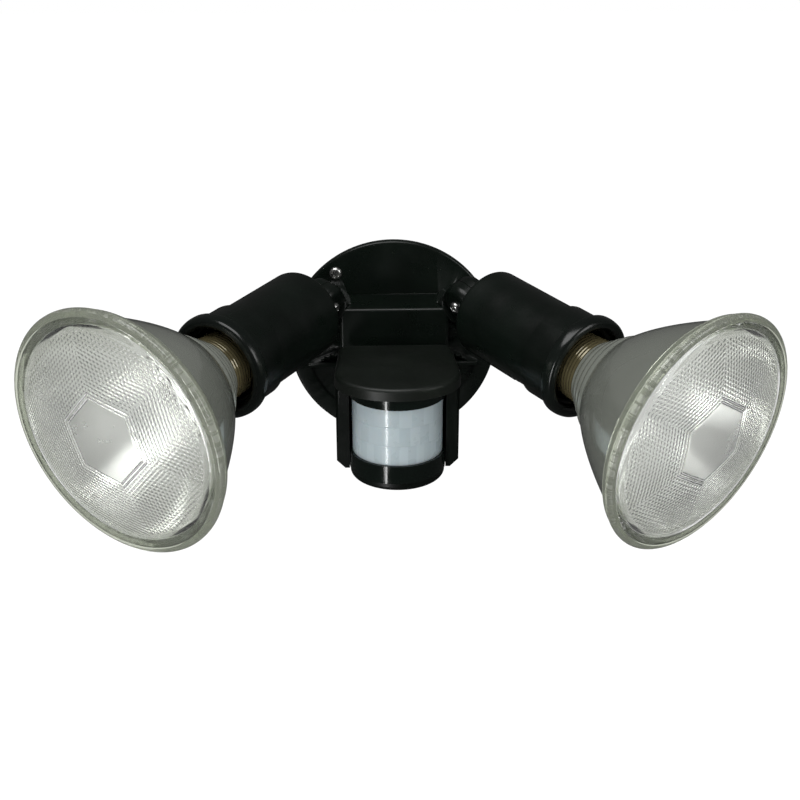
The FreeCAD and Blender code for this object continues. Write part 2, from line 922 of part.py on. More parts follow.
def bulb_contact():
    """Black glass insulator with the metal tip, closing the base's end."""
    outline = (
        Outline(bulb_tip, 0)
        .dome(bulb_tip + 1.2, base_tip_radius)
        .line(base_rear, base_tip_radius + base_inner_rim)
        .line(base_rear + base_wall, base_tip_radius + base_inner_rim)
        .line(base_rear + base_wall, 0)
    )
    return turned(outline)


def bulb_burner():
    """Halogen capsule on its stem, standing on the axis at the reflector's focus."""
    stem_rear = base_rear + base_wall
    capsule_rear = base_front + burner_setback
    capsule_front = capsule_rear + burner_length
    outline = (
        Outline(stem_rear, 0)
        .line(stem_rear, burner_stem_radius)
        .line(capsule_rear, burner_stem_radius)
        .line(capsule_rear + burner_shoulder, burner_radius)
        .line(capsule_front - burner_tip_length, burner_radius)
        .dome(capsule_front, 0)
    )
    return turned(outline)


# ---------------------------------------------------------------- sensor arm
BALL = Vector(0, -ball_reach, ball_height)
sensor_flange_back = box_front - arm_seal_thickness
sensor_flange_front = sensor_flange_back - sensor_flange_thickness
sensor_nut_front = box_front + box_wall
sensor_stem_end = sensor_nut_front + locknut_thickness + stem_overrun


def on_ball(outline):
    """Revolves an outline drawn as (forward of the ball's centre, radius) about the ball's axis."""
    return placed(turned(outline), BALL, FORWARD)


def sensor_arm():
    """Stem along Y, round flange, short neck and the ball that the sensor head aims on."""
    back = sensor_stem_end + ball_reach
    flange_rear = sensor_flange_back + ball_reach
    flange_face = sensor_flange_front + ball_reach
    meet = (ball_radius ** 2 - ball_neck_radius ** 2) ** 0.5
    outline = (
        Outline(-back, sensor_wire_bore_radius)
        .line(-back, sensor_stem_radius - stem_chamfer)
        .line(stem_chamfer - back, sensor_stem_radius)
        .line(-flange_rear, sensor_stem_radius)
        .line(-flange_rear, sensor_flange_radius)
        .line(-flange_face - stem_chamfer, sensor_flange_radius)
        .line(-flange_face, sensor_flange_radius - stem_chamfer)
        .line(-flange_face, ball_neck_radius)
        .line(-meet, ball_neck_radius)
        .arc(0, ball_radius, (ball_radius ** 2 - wire_bore_radius ** 2 / 4) ** 0.5, wire_bore_radius / 2)
        .line(-flange_face, wire_bore_radius / 2)
        .line(-flange_rear, sensor_wire_bore_radius)
    )
    return on_ball(outline)


def sensor_arm_seal():
    start = Vector(0, sensor_flange_back, ball_height)
    ring = rod(sensor_flange_radius - seal_edge_setback, start, BACK, arm_seal_thickness)
    return ring.cut(rod(sensor_stem_radius, start, BACK, arm_seal_thickness))


def sensor_arm_locknut():
    nut = lug_ring(sensor_locknut_radius, sensor_stem_radius, locknut_thickness, 0)
    return placed(nut, Vector(0, sensor_nut_front, ball_height), FORWARD)


def ball_band(radius, bore, rear, front):
    """A ring between two spheres about the ball's centre, from one plane to another."""
    outline = (
        Outline(-rear, (bore ** 2 - rear ** 2) ** 0.5)
        .line(-rear, (radius ** 2 - rear ** 2) ** 0.5)
        .arc(0, radius, front, (radius ** 2 - front ** 2) ** 0.5)
        .line(front, (bore ** 2 - front ** 2) ** 0.5)
        .arc(0, bore, -rear, (bore ** 2 - rear ** 2) ** 0.5)
    )
    return on_ball(outline)


liner_radius = ball_radius + ball_fit + liner_thickness
socket_radius = liner_radius + ball_fit


def ball_liner():
    """Nylon band between the ball and its socket, which keeps the head where it is aimed."""
    return ball_band(liner_radius, ball_radius + ball_fit, socket_opening_reach, liner_front_reach)


def clamp_screw_place():
    """Where the clamp screw crosses the slit, under the socket."""
    down = socket_radius + socket_wall + clamp_screw_drop
    forward = (head_rear_reach - ball_reach - socket_opening_reach) / 2
    return BALL + Vector(0, -forward, -down)


def sensor_clamp_screw():
    """Crosses both lugs of the split socket, from the left."""
    outside = clamp_slit / 2 + clamp_lug_width
    screw = pan_screw(
        clamp_screw_head_radius,
        clamp_screw_head_height,
        clamp_screw_radius,
        2 * outside + pin_tip,
    )
    return placed(screw, clamp_screw_place() - Vector(outside, 0, 0), LAMP_AXIS)


def clamp_nut_start():
    outside = clamp_slit / 2 + clamp_lug_width
    return clamp_screw_place() + Vector(outside - clamp_nut_thickness, 0, 0)


def sensor_clamp_nut():
    return hex_nut(
        clamp_nut_across_flats,
        clamp_nut_thickness,
        clamp_screw_radius + pin_fit,
        clamp_nut_start(),
        LAMP_AXIS,
    )


# ---------------------------------------------------------------- sensor head
head_rear = -head_rear_reach
DRUM = Vector(0, -drum_centre_reach, 0)


def plan_wire(half_width, rear, straight, front, taper, corner):
    """Plan outline, at Z = 0: a straight back with round corners and an elliptical front."""
    rear_half = half_width - taper
    nip = corner * (1 - 0.5 ** 0.5)
    ellipse = Part.Ellipse(Vector(0, -straight, 0), half_width, front - straight)
    if front - straight > half_width:
        ellipse = Part.Ellipse(Vector(0, -front, 0), Vector(half_width, -straight, 0),
                               Vector(0, -straight, 0))
    arc = Part.ArcOfEllipse(ellipse, math.pi, 2 * math.pi).toShape()
    left, right = Vector(-half_width, -straight, 0), Vector(half_width, -straight, 0)
    up_left = Vector(-rear_half, -rear - corner, 0)
    up_right = Vector(rear_half, -rear - corner, 0)
    back_left = Vector(-rear_half + corner, -rear, 0)
    back_right = Vector(rear_half - corner, -rear, 0)
    edges = [
        arc,
        Part.LineSegment(right, up_right).toShape(),
        Part.Arc(up_right, Vector(rear_half - nip, -rear - nip, 0), back_right).toShape(),
        Part.LineSegment(back_right, back_left).toShape(),
        Part.Arc(back_left, Vector(-rear_half + nip, -rear - nip, 0), up_left).toShape(),
        Part.LineSegment(up_left, left).toShape(),
    ]
    return Part.Wire(edges)


def sensor_hood():
    """D-shaped rain hood: a shallow tray turned over, its top edge rounded, its lip bevelled."""
    half = head_width / 2 + hood_overhang
    outer = Part.Face(
        plan_wire(half, hood_rear_reach, hood_straight_reach, hood_front_reach, hood_rear_taper,
                  hood_rear_round)
    )
    lip_bottom = hood_top - hood_lip_height
    outer.translate(Vector(0, 0, lip_bottom))
    body = outer.extrude(Vector(0, 0, hood_lip_height))
    body = body.makeFillet(hood_edge_round, edges_at(body, "Z", hood_top))
    inner = Part.Face(
        plan_wire(
            half - hood_thickness,
            hood_rear_reach + hood_thickness,
            hood_straight_reach,
            hood_front_reach - hood_thickness,
            hood_rear_taper,
            hood_rear_round - hood_thickness,
        )
    )
    inner.translate(Vector(0, 0, lip_bottom))
    hollow = inner.extrude(Vector(0, 0, head_top - lip_bottom))
    return body.cut(hollow)


def head_space():
    """The room for the electronics, behind and under the drum."""
    half = head_width / 2 - head_wall - cheek_chamfer
    return block(
        (-half, half),
        (-drum_centre_reach, head_rear - head_wall),
        (head_bottom + head_wall, head_top - head_wall),
    )


def in_front_of_rear_wall(shape, gap):
    """Keeps what lies in front of the rear wall's inner face, less a gap."""
    front = head_rear - head_wall - gap
    return shape.common(block((-head_width, head_width), (2 * front, front), (2 * cap_bottom, head_top)))


def split_socket():
    """Round socket for the ball behind the head, slit below between two clamp lugs."""
    collar_radius_out = socket_radius + socket_wall
    opening = BALL + Vector(0, socket_opening_reach, 0)
    length = head_rear_reach + wall_overlap - ball_reach + socket_opening_reach
    collar = rod(collar_radius_out, opening, FORWARD, length)
    side = clamp_slit / 2 + clamp_lug_width
    low = ball_height - collar_radius_out - clamp_lug_drop
    lugs = block((-side, side), (head_rear - wall_overlap, opening.y), (low, ball_height - socket_radius))
    lower_rear = [e for e in edges_at(lugs, "Z", low) if e.BoundBox.YMin > opening.y - 1e-4]
    lugs = lugs.makeFillet(clamp_lug_round, lower_rear)
    slit = block(
        (-clamp_slit / 2, clamp_slit / 2),
        (head_rear, opening.y),
        (low, ball_height - 0.5 * socket_radius),
    )
    return joined([collar, lugs]), slit


def sensor_housing():
    """Rear body of the sensor head with its two cheeks, open in front for the drum."""
    half = head_width / 2
    corner = head_corner_round
    nip = corner * (1 - 0.5 ** 0.5)
    plan = [
        Part.LineSegment(Vector(-half, -cheek_front, 0), Vector(half, -cheek_front, 0)),
        Part.LineSegment(Vector(half, -cheek_front, 0), Vector(half, head_rear - corner, 0)),
        Part.Arc(Vector(half, head_rear - corner, 0), Vector(half - nip, head_rear - nip, 0),
                 Vector(half - corner, head_rear, 0)),
        Part.LineSegment(Vector(half - corner, head_rear, 0), Vector(corner - half, head_rear, 0)),
        Part.Arc(Vector(corner - half, head_rear, 0), Vector(nip - half, head_rear - nip, 0),
                 Vector(-half, head_rear - corner, 0)),
        Part.LineSegment(Vector(-half, head_rear - corner, 0), Vector(-half, -cheek_front, 0)),
    ]
    face = Part.Face(Part.Wire([edge.toShape() for edge in plan]))
    face.translate(Vector(0, 0, head_bottom))
    body = face.extrude(Vector(0, 0, head_top - head_bottom))
    under = [e for e in edges_at(body, "Z", head_bottom) if e.BoundBox.YMax > 1 - cheek_front]
    body = body.makeChamfer(cheek_chamfer, under)
    drum_room = rod(drum_radius + drum_gap, DRUM + Vector(0, 0, cap_bottom), UP,
                    head_top - head_wall - cap_bottom)
    drum_room = in_front_of_rear_wall(drum_room, 0)
    posts = [
        rod(board_post_radius, Vector(x, head_rear - head_wall + wall_overlap, z), FORWARD,
            board_standoff + wall_overlap)
        for x, z in board_screw_places()
    ]
    pilot = [
        rod(board_screw_radius, Vector(x, head_rear - 1.0, z), FORWARD, head_wall + board_standoff)
        for x, z in board_screw_places()
    ]
    hollow = body.cut([drum_room, head_space()])
    socket, slit = split_socket()
    ball_room = Part.makeSphere(socket_radius, BALL)
    hole = rod(clamp_screw_radius + pin_fit, clamp_screw_place() - Vector(head_width / 2, 0, 0),
               LAMP_AXIS, head_width)
    pocket = nut_pocket(clamp_nut_across_flats, clamp_nut_thickness, clamp_nut_start(), LAMP_AXIS)
    whole = joined([hollow, socket, *posts])
    return whole.cut([ball_room, slit, hole, pocket, *pilot, sensor_hood()])


def drum_wall_part(radius, wall, low, high):
    """Part of a thin upright cylinder about the drum's axis, open at the back."""
    start = DRUM + Vector(0, 0, low)
    outer = Part.makeCylinder(radius, high - low, start, UP, drum_sweep)
    outer.rotate(DRUM, UP, 270 - drum_sweep / 2)
    return outer.cut(rod(radius - wall, start, UP, high - low))


def lens_top_ring():
    return drum_wall_part(drum_radius, drum_wall, lens_top, head_top - head_wall)


def lens_bottom_ring():
    """The glossy band under the lens, with two bosses inside for the cap's screws."""
    height = lens_bottom - band_bottom
    ring = drum_wall_part(drum_radius, drum_wall, band_bottom, lens_bottom)
    bosses = [
        rod(cap_boss_radius, Vector(place.x, place.y, band_bottom), UP, height)
        for place in cap_screw_places()
    ]
    inside = rod(drum_radius, DRUM + Vector(0, 0, band_bottom), UP, height)
    ring = joined([ring, *[boss.common(inside) for boss in bosses]])
    return ring.cut(cap_screw_holes(cap_screw_radius))


def sensor_lens():
    """Curved Fresnel window: part of a thin cylinder, grooved between its bands of facets."""
    height = lens_top - lens_bottom
    lens = drum_wall_part(pir_lens_radius, pir_lens_wall, lens_bottom, lens_top)
    for index in range(1, pir_band_count):
        level = DRUM + Vector(0, 0, lens_bottom + height * index / pir_band_count)
        groove = rod(pir_lens_radius + 1, level, UP, pir_groove_width)
        groove = groove.cut(rod(pir_lens_radius - pir_groove_depth, level, UP, pir_groove_width))
        lens = lens.cut(groove)
    return lens


def control_places():
    front = -drum_centre_reach - control_setback
    return Vector(-knob_side, front, cap_bottom), Vector(knob_side, front, cap_bottom)


def cap_screw_places():
    back = cap_screw_back - drum_centre_reach
    return [Vector(x, back, cap_bottom) for x in (-cap_screw_side, cap_screw_side)]


def cap_screw_holes(radius):
    return [rod(radius, place, UP, cap_screw_length) for place in cap_screw_places()]


def bottom_cap():
    """Round cap that closes the drum from below and carries the controls."""
    height = band_bottom - cap_bottom
    cap = rod(drum_radius - cap_setback, DRUM + Vector(0, 0, cap_bottom), UP, height)
    cap = cap.makeFillet(cap_edge_round, edges_at(cap, "Z", cap_bottom))
    cap = in_front_of_rear_wall(cap, drum_gap)
    knob, switch = control_places()
    slot_half = switch_length / 2 + switch_travel + switch_slot_clearance
    across = switch_width / 2 + switch_slot_clearance
    slot = block(
        (switch.x - slot_half, switch.x + slot_half),
        (switch.y - across, switch.y + across),
        (cap_bottom, cap_bottom + switch_slot_depth),
    )
    cuts = [
        rod(knob_radius + control_fit, knob, UP, knob_recess),
        rod(knob_shaft_radius + control_fit, knob, UP, height),
        slot,
        *cap_screw_holes(cap_screw_radius),
    ]
    heads = [
        rod(cap_screw_head_radius + control_fit, place, UP, cap_screw_head_radius - cap_screw_radius)
        for place in cap_screw_places()
    ]
    return cap.cut([*cuts, *heads])


def cap_screws():
    """Two small screws that hold the cap, heads flush in its underside."""
    screw = pan_screw(
        cap_screw_head_radius,
        cap_screw_head_radius - cap_screw_radius,
        cap_screw_radius,
        cap_screw_length - cap_screw_head_radius + cap_screw_radius,
    )
    depth = cap_screw_head_radius - cap_screw_radius
    return Part.makeCompound(
        [placed(screw, place + Vector(0, 0, depth), UP) for place in cap_screw_places()]
    )


def range_knob():
    """Slotted adjusting knob with a scalloped edge, sunk in the cap."""
    place, _ = control_places()
    start = place + Vector(0, 0, knob_recess - knob_height)
    knob = rod(knob_radius, start, UP, knob_height)
    for index in range(knob_flute_count):
        place_on_edge = start + Vector(knob_radius, 0, 0)
        flute = rod(knob_flute_radius, place_on_edge, UP, knob_height - knob_recess)
        knob = knob.cut(flute.rotated(start, UP, 360 * index / knob_flute_count))
    shaft = rod(knob_shaft_radius, place + Vector(0, 0, knob_recess), UP, knob_shaft_length)
    slot = block(
        (place.x - knob_radius, place.x + knob_radius),
        (place.y - slot_width / 2, place.y + slot_width / 2),
        (start.z, start.z + slot_depth),
    )
    return joined([knob, shaft]).cut(slot)


def time_switch():
    """Slide switch's button, in its slot in the cap."""
    _, place = control_places()
    base = block(
        (place.x - switch_length / 2, place.x + switch_length / 2),
        (place.y - switch_width / 2, place.y + switch_width / 2),
        (place.z - switch_stand_out, place.z + switch_slot_depth - switch_floor_gap),
    )
    return base.makeChamfer(switch_edge_chamfer, edges_at(base, "Z", place.z - switch_stand_out))


# ---------------------------------------------------------------- inside the sensor head
board_back = head_rear - head_wall - board_standoff
board_front = board_back - board_thickness


def board_screw_places():
    x = board_width / 2 - board_screw_inset
    return [
        (side * x, z)
        for side in (-1, 1)
        for z in (board_top - board_screw_inset, board_bottom + board_screw_inset)
    ]


def circuit_board():
    board = block(
        (-board_width / 2, board_width / 2), (board_front, board_back), (board_bottom, board_top)
    )
    holes = [
        rod(board_screw_radius + board_hole_clearance, Vector(x, board_back, z), FORWARD, board_thickness)
        for x, z in board_screw_places()
    ]
    return board.cut(holes)


def board_screws():
    screw = pan_screw(
        2 * board_screw_radius, board_screw_radius, board_screw_radius,
        board_thickness + board_standoff + head_wall - board_screw_end_gap,
    )
    return Part.makeCompound(
        [placed(screw, Vector(x, board_front, z), BACK) for x, z in board_screw_places()]
    )


def motion_element():
    """Metal can of the infrared detector, with its window side to the front."""
    centre = Vector(0, board_front, board_top - pir_can_below_top)
    can = rod(pir_can_radius, centre, FORWARD, pir_can_height)
    brim = rod(pir_can_radius + pir_brim_width, centre, FORWARD, pir_brim_thickness)
    window = block(
        (-pir_window_width / 2, pir_window_width / 2),
        (board_front - pir_can_height, board_front - pir_can_height + pir_window_depth),
        (centre.z - pir_window_height / 2, centre.z + pir_window_height / 2),
    )
    return joined([can, brim]).cut(window)


def relay():
    side = relay_edge_gap - board_width / 2
    body = block(
        (side, side + relay_width),
        (board_front - relay_depth, board_front),
        (board_bottom + 2 * board_screw_inset, board_bottom + 2 * board_screw_inset + relay_height),
    )
    return body.makeFillet(relay_edge_round, edges_at(body, "Y", board_front - relay_depth))


def photocell():
    place = Vector(board_width / 4, board_front, board_bottom + board_screw_inset)
    return rod(photocell_radius, place, FORWARD, photocell_height)


# ---------------------------------------------------------------- the whole light
def arm_parts(turn):
    """The pieces that belong to a right-hand arm, each in its place."""
    parts = {
        "arm": knuckle_arm(),
        "arm_seal": arm_seal(),
        "arm_locknut": arm_locknut(),
        "knuckle_screw": knuckle_screw(),
    }
    return {name: on_arm(shape, turn) for name, shape in parts.items()}


def lamp_parts(turn, droop, ribbed):
    """The pieces that tilt with a right-hand lamp, each in its place."""
    parts = {
        "knuckle_nut": knuckle_nut(),
        "lamp_holder": lamp_holder(ribbed),
        "mouth_ring": mouth_ring(),
        "socket_body": socket_body(),
        "screw_shell": screw_shell(),
        "centre_contact": centre_contact(),
        "bulb_lens": bulb_lens(),
        "bulb_reflector": bulb_reflector(),
        "bulb_base": bulb_base(),
        "bulb_contact": bulb_contact(),
        "bulb_burner": bulb_burner(),
    }
    return {name: on_lamp(shape, turn, droop) for name, shape in parts.items()}


def all_parts():
    parts = {
        "cover_plate": cover_plate(),
        "foam_gasket": foam_gasket(),
        "cover_screws": cover_screws(),
        "sensor_arm": sensor_arm(),
        "sensor_arm_seal": sensor_arm_seal(),
        "sensor_arm_locknut": sensor_arm_locknut(),
        "ball_liner": ball_liner(),
        "sensor_clamp_screw": sensor_clamp_screw(),
        "sensor_clamp_nut": sensor_clamp_nut(),
        "sensor_hood": sensor_hood(),
        "sensor_housing": sensor_housing(),
        "lens_top_ring": lens_top_ring(),
        "sensor_lens": sensor_lens(),
        "lens_bottom_ring": lens_bottom_ring(),
        "bottom_cap": bottom_cap(),
        "cap_screws": cap_screws(),
        "range_knob": range_knob(),
        "time_switch": time_switch(),
        "circuit_board": circuit_board(),
        "board_screws": board_screws(),
        "motion_element": motion_element(),
        "relay": relay(),
        "photocell": photocell(),
    }
    right_side = arm_parts(right_arm_turn)
    right_side.update(lamp_parts(right_arm_turn, right_lamp_droop, ribbed=True))
    left_side = arm_parts(left_arm_turn)
    left_side.update(lamp_parts(left_arm_turn, left_lamp_droop, ribbed=False))
    parts.update({"right_" + name: shape for name, shape in right_side.items()})
    parts.update({"left_" + name: mirrored(shape) for name, shape in left_side.items()})
    return parts


os.makedirs("parts", exist_ok=True)
for node, solid in all_parts().items():
    solid.exportStep("parts/" + node + ".step")
    print(node, len(solid.Solids), solid.isValid(), round(solid.Volume, 1))
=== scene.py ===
# %% [markdown]
# # A motion sensor security light, dressed for the camera
# The light is a round wall cover with a wiring box, two aimable lamps and a sensor head. Its solids
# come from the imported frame. This lesson puts finished surfaces over them, piece by piece, then
# lights the object and looks at it from slightly above, as a shop photograph does.

import json
import math

import bmesh
import bpy
import numpy as np
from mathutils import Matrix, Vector


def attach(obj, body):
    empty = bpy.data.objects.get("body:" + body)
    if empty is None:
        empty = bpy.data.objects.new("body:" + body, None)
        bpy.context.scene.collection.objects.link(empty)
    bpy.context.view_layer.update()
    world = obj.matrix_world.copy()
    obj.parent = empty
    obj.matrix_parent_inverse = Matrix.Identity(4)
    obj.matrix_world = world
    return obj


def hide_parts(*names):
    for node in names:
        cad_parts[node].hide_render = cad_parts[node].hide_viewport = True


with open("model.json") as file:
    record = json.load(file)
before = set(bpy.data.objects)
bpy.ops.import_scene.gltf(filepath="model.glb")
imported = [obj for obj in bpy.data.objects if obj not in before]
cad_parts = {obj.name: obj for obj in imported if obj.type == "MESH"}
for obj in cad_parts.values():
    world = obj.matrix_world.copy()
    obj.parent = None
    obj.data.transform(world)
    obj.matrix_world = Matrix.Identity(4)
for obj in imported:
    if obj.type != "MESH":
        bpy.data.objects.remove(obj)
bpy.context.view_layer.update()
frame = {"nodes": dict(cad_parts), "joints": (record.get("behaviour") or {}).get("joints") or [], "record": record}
MM = 0.001
JOINTS = {joint["name"]: joint for joint in frame["joints"]}
BODY_OF = {n: body for body, group in frame["record"]["behaviour"]["bodies"].items() for n in group}
SLOT_OF = {row["node"]: row["material_slot"] for row in frame["record"]["subparts"]}

# %% [markdown]
# ## Turning arrays into pieces
# Every new surface here is worked out as one array of points, so its shape is a formula and not a
# pile of primitives. A mesh needs three more things before it looks right: points that fall on each
# other at a pole or a seam are merged, faces are turned outwards, and the shading is smooth except
# across real edges. One helper does all three, so no piece can miss one.


# %% From points and faces to a finished piece
def add_piece(name, mesh, body, stands_for, sharp_over=32.0):
    """Merges doubles, turns faces outwards, smooths the shading and hangs the piece on its body."""
    work = bmesh.new()
    work.from_mesh(mesh)
    bmesh.ops.remove_doubles(work, verts=work.verts, dist=2e-7)
    bmesh.ops.dissolve_degenerate(work, edges=work.edges, dist=1e-8)
    bmesh.ops.recalc_face_normals(work, faces=work.faces)
    work.to_mesh(mesh)
    work.free()
    mesh.shade_smooth()
    mesh.set_sharp_from_angle(angle=math.radians(sharp_over))
    piece = bpy.data.objects.new(name, mesh)
    bpy.context.scene.collection.objects.link(piece)
    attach(piece, body)
    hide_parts(*stands_for)
    return piece


def build(name, points, faces, finishes, face_finish, body, stands_for, sharp_over=32.0):
    """Makes a piece from points in millimetres; face_finish gives each face's finish by number."""
    mesh = bpy.data.meshes.new(name)
    mesh.from_pydata((points * MM).tolist(), [], faces)
    for finish in finishes:
        mesh.materials.append(finish)
    mesh.polygons.foreach_set("material_index", np.asarray(face_finish, np.int32))
    piece = add_piece(name, mesh, body, stands_for, sharp_over)
    print(f"{name}: {len(piece.data.polygons)} faces")
    return piece


def grid_faces(rows, columns, closed_rows=False, closed_columns=True, first=0):
    """Quads of a grid of rows x columns points, wrapping round where a direction is closed."""
    i = np.arange(rows if closed_rows else rows - 1)[:, None]
    j = np.arange(columns if closed_columns else columns - 1)[None, :]
    i2, j2 = (i + 1) % rows, (j + 1) % columns
    quads = np.stack([i * columns + j, i * columns + j2, i2 * columns + j2, i2 * columns + j], -1)
    return quads.reshape(-1, 4) + first


def soften(corners, steps=5):
    """A profile through corners (along, radius, round): each corner becomes a quadratic curve that
    starts and ends its round's length before and after the corner."""
    spots = np.array([c[:2] for c in corners], float)
    rounds = np.array([c[2] for c in corners], float)[:, None]
    to_last = np.roll(spots, 1, 0) - spots
    to_next = np.roll(spots, -1, 0) - spots
    unit = lambda v: v / np.maximum(np.linalg.norm(v, axis=1, keepdims=True), 1e-9)
    a, b = spots + unit(to_last) * rounds, spots + unit(to_next) * rounds
    t = np.linspace(0, 1, steps)[None, :, None]
    curve = (1 - t) ** 2 * a[:, None] + 2 * t * (1 - t) * spots[:, None] + t**2 * b[:, None]
    keep = [curve[k] if corners[k][2] > 0 else spots[k][None] for k in range(len(corners))]
    return np.concatenate(keep)


def lathe(profile, around=128):
    """Turns a profile of (along, radius) about the along axis: (along, r cos a, r sin a)."""
    a = np.linspace(0, 2 * np.pi, around, endpoint=False)[None, :]
    s, r = profile[:, :1], profile[:, 1:]
    return np.stack([s + 0 * a, r * np.cos(a), r * np.sin(a)], -1)


# %% [markdown]
# ## Where each lamp points
# Both lamps are the same product, aimed by hand, so every lamp piece is drawn once in the lamp's own
# frame: along its axis, out along the knuckle pin, and up. The frame's joints say where that is. The
# tilt hinge gives the pin, and the slide that takes the bulb out gives the axis.


# %% The lamps' own frames
def lamp_frame(side):
    tilt, out_slide = JOINTS[side + "_lamp_tilt"], JOINTS[side + "_bulb_out"]
    hand = 1.0 if side == "right" else -1.0
    along = np.array(out_slide["axis"], float)
    out = hand * np.array(tilt["axis"], float)
    along, out = along / np.linalg.norm(along), out / np.linalg.norm(out)
    up = hand * np.cross(along, out)
    return np.array(tilt["pos_m"], float) / MM, np.array([along, out, up])


def on_lamp(side, points):
    """Moves points (along, out, up), in millimetres from the pin, to the light's frame."""
    pin, axes = lamp_frame(side)
    return pin + points.reshape(-1, 3) @ axes


for side in ("right", "left"):
    print(side, "lamp axis", lamp_frame(side)[1][0].round(3))

# %% [markdown]
# ## Finishes
# Moulded plastic is never one flat colour: it has a cloudy tone, a fine grain from the mould, patches
# where hands polished it and a few specks of dust. Each finish is built from the same four layers, at
# real sizes in metres, and only their strengths change from satin plastic to rubber, zinc or glass.
# Object coordinates carry the layers, so they stay on the piece when it moves.


# %% A finish with cloud, grain, polish and dust
def noise(tree, scale, detail, seed):
    """Soft noise on the piece's own coordinates; scale is spots per metre."""
    coordinates = tree.nodes.new("ShaderNodeTexCoord")
    shift = tree.nodes.new("ShaderNodeMapping")
    shift.inputs["Location"].default_value = (seed, seed * 0.37, seed * 0.61)
    texture = tree.nodes.new("ShaderNodeTexNoise")
    texture.inputs["Scale"].default_value = scale
    texture.inputs["Detail"].default_value = detail
    tree.links.new(coordinates.outputs["Object"], shift.inputs["Vector"])
    tree.links.new(shift.outputs["Vector"], texture.inputs["Vector"])
    return texture.outputs["Fac"]


def spread(tree, value, low, high, start=0.3, end=0.7):
    """Maps noise between start and end to a range."""
    node = tree.nodes.new("ShaderNodeMapRange")
    node.inputs["From Min"].default_value = start
    node.inputs["From Max"].default_value = end
    node.inputs["To Min"].default_value = low
    node.inputs["To Max"].default_value = high
    tree.links.new(value, node.inputs["Value"])
    return node.outputs["Result"]


def blend_colours(tree, share, first, second):
    node = tree.nodes.new("ShaderNodeMix")
    node.data_type = "RGBA"
    node.inputs[6].default_value = (*first, 1)
    node.inputs[7].default_value = (*second, 1)
    tree.links.new(share, node.inputs[0])
    return node.outputs[2]


def finish(name, colour, tone=0.25, rough=(0.35, 0.5), grain=900.0, relief=0.02, dust=0.0, seed=1.0,
           **sockets):
    """A surface finish; tone is how far the colour wanders, relief the grain's depth in mm."""
    material = bpy.data.materials.new(name)
    material.use_nodes = True
    tree = material.node_tree
    shader = tree.nodes["Principled BSDF"]
    darker = [c * (1 - tone) for c in colour]
    lighter = [min(c * (1 + tone), 1.0) for c in colour]
    cloud = spread(tree, noise(tree, 38.0, 5.0, seed), 0.0, 1.0)
    body_colour = blend_colours(tree, cloud, darker, lighter)
    if dust:
        speck = spread(tree, noise(tree, 2100.0, 1.0, seed + 5), 0.0, dust, 0.74, 0.8)
        mix = tree.nodes.new("ShaderNodeMix")
        mix.data_type = "RGBA"
        mix.inputs[7].default_value = (0.35, 0.36, 0.34, 1)
        tree.links.new(speck, mix.inputs[0])
        tree.links.new(body_colour, mix.inputs[6])
        body_colour = mix.outputs[2]
    tree.links.new(body_colour, shader.inputs["Base Color"])
    polish = spread(tree, noise(tree, 90.0, 4.0, seed + 2), rough[0], rough[1])
    tree.links.new(polish, shader.inputs["Roughness"])
    bump = tree.nodes.new("ShaderNodeBump")
    bump.inputs["Strength"].default_value = 0.5
    bump.inputs["Distance"].default_value = relief * MM
    tree.links.new(noise(tree, grain, 3.0, seed + 3), bump.inputs["Height"])
    tree.links.new(bump.outputs["Normal"], shader.inputs["Normal"])
    for socket, value in sockets.items():
        shader.inputs[socket.replace("_", " ")].default_value = value
    return material


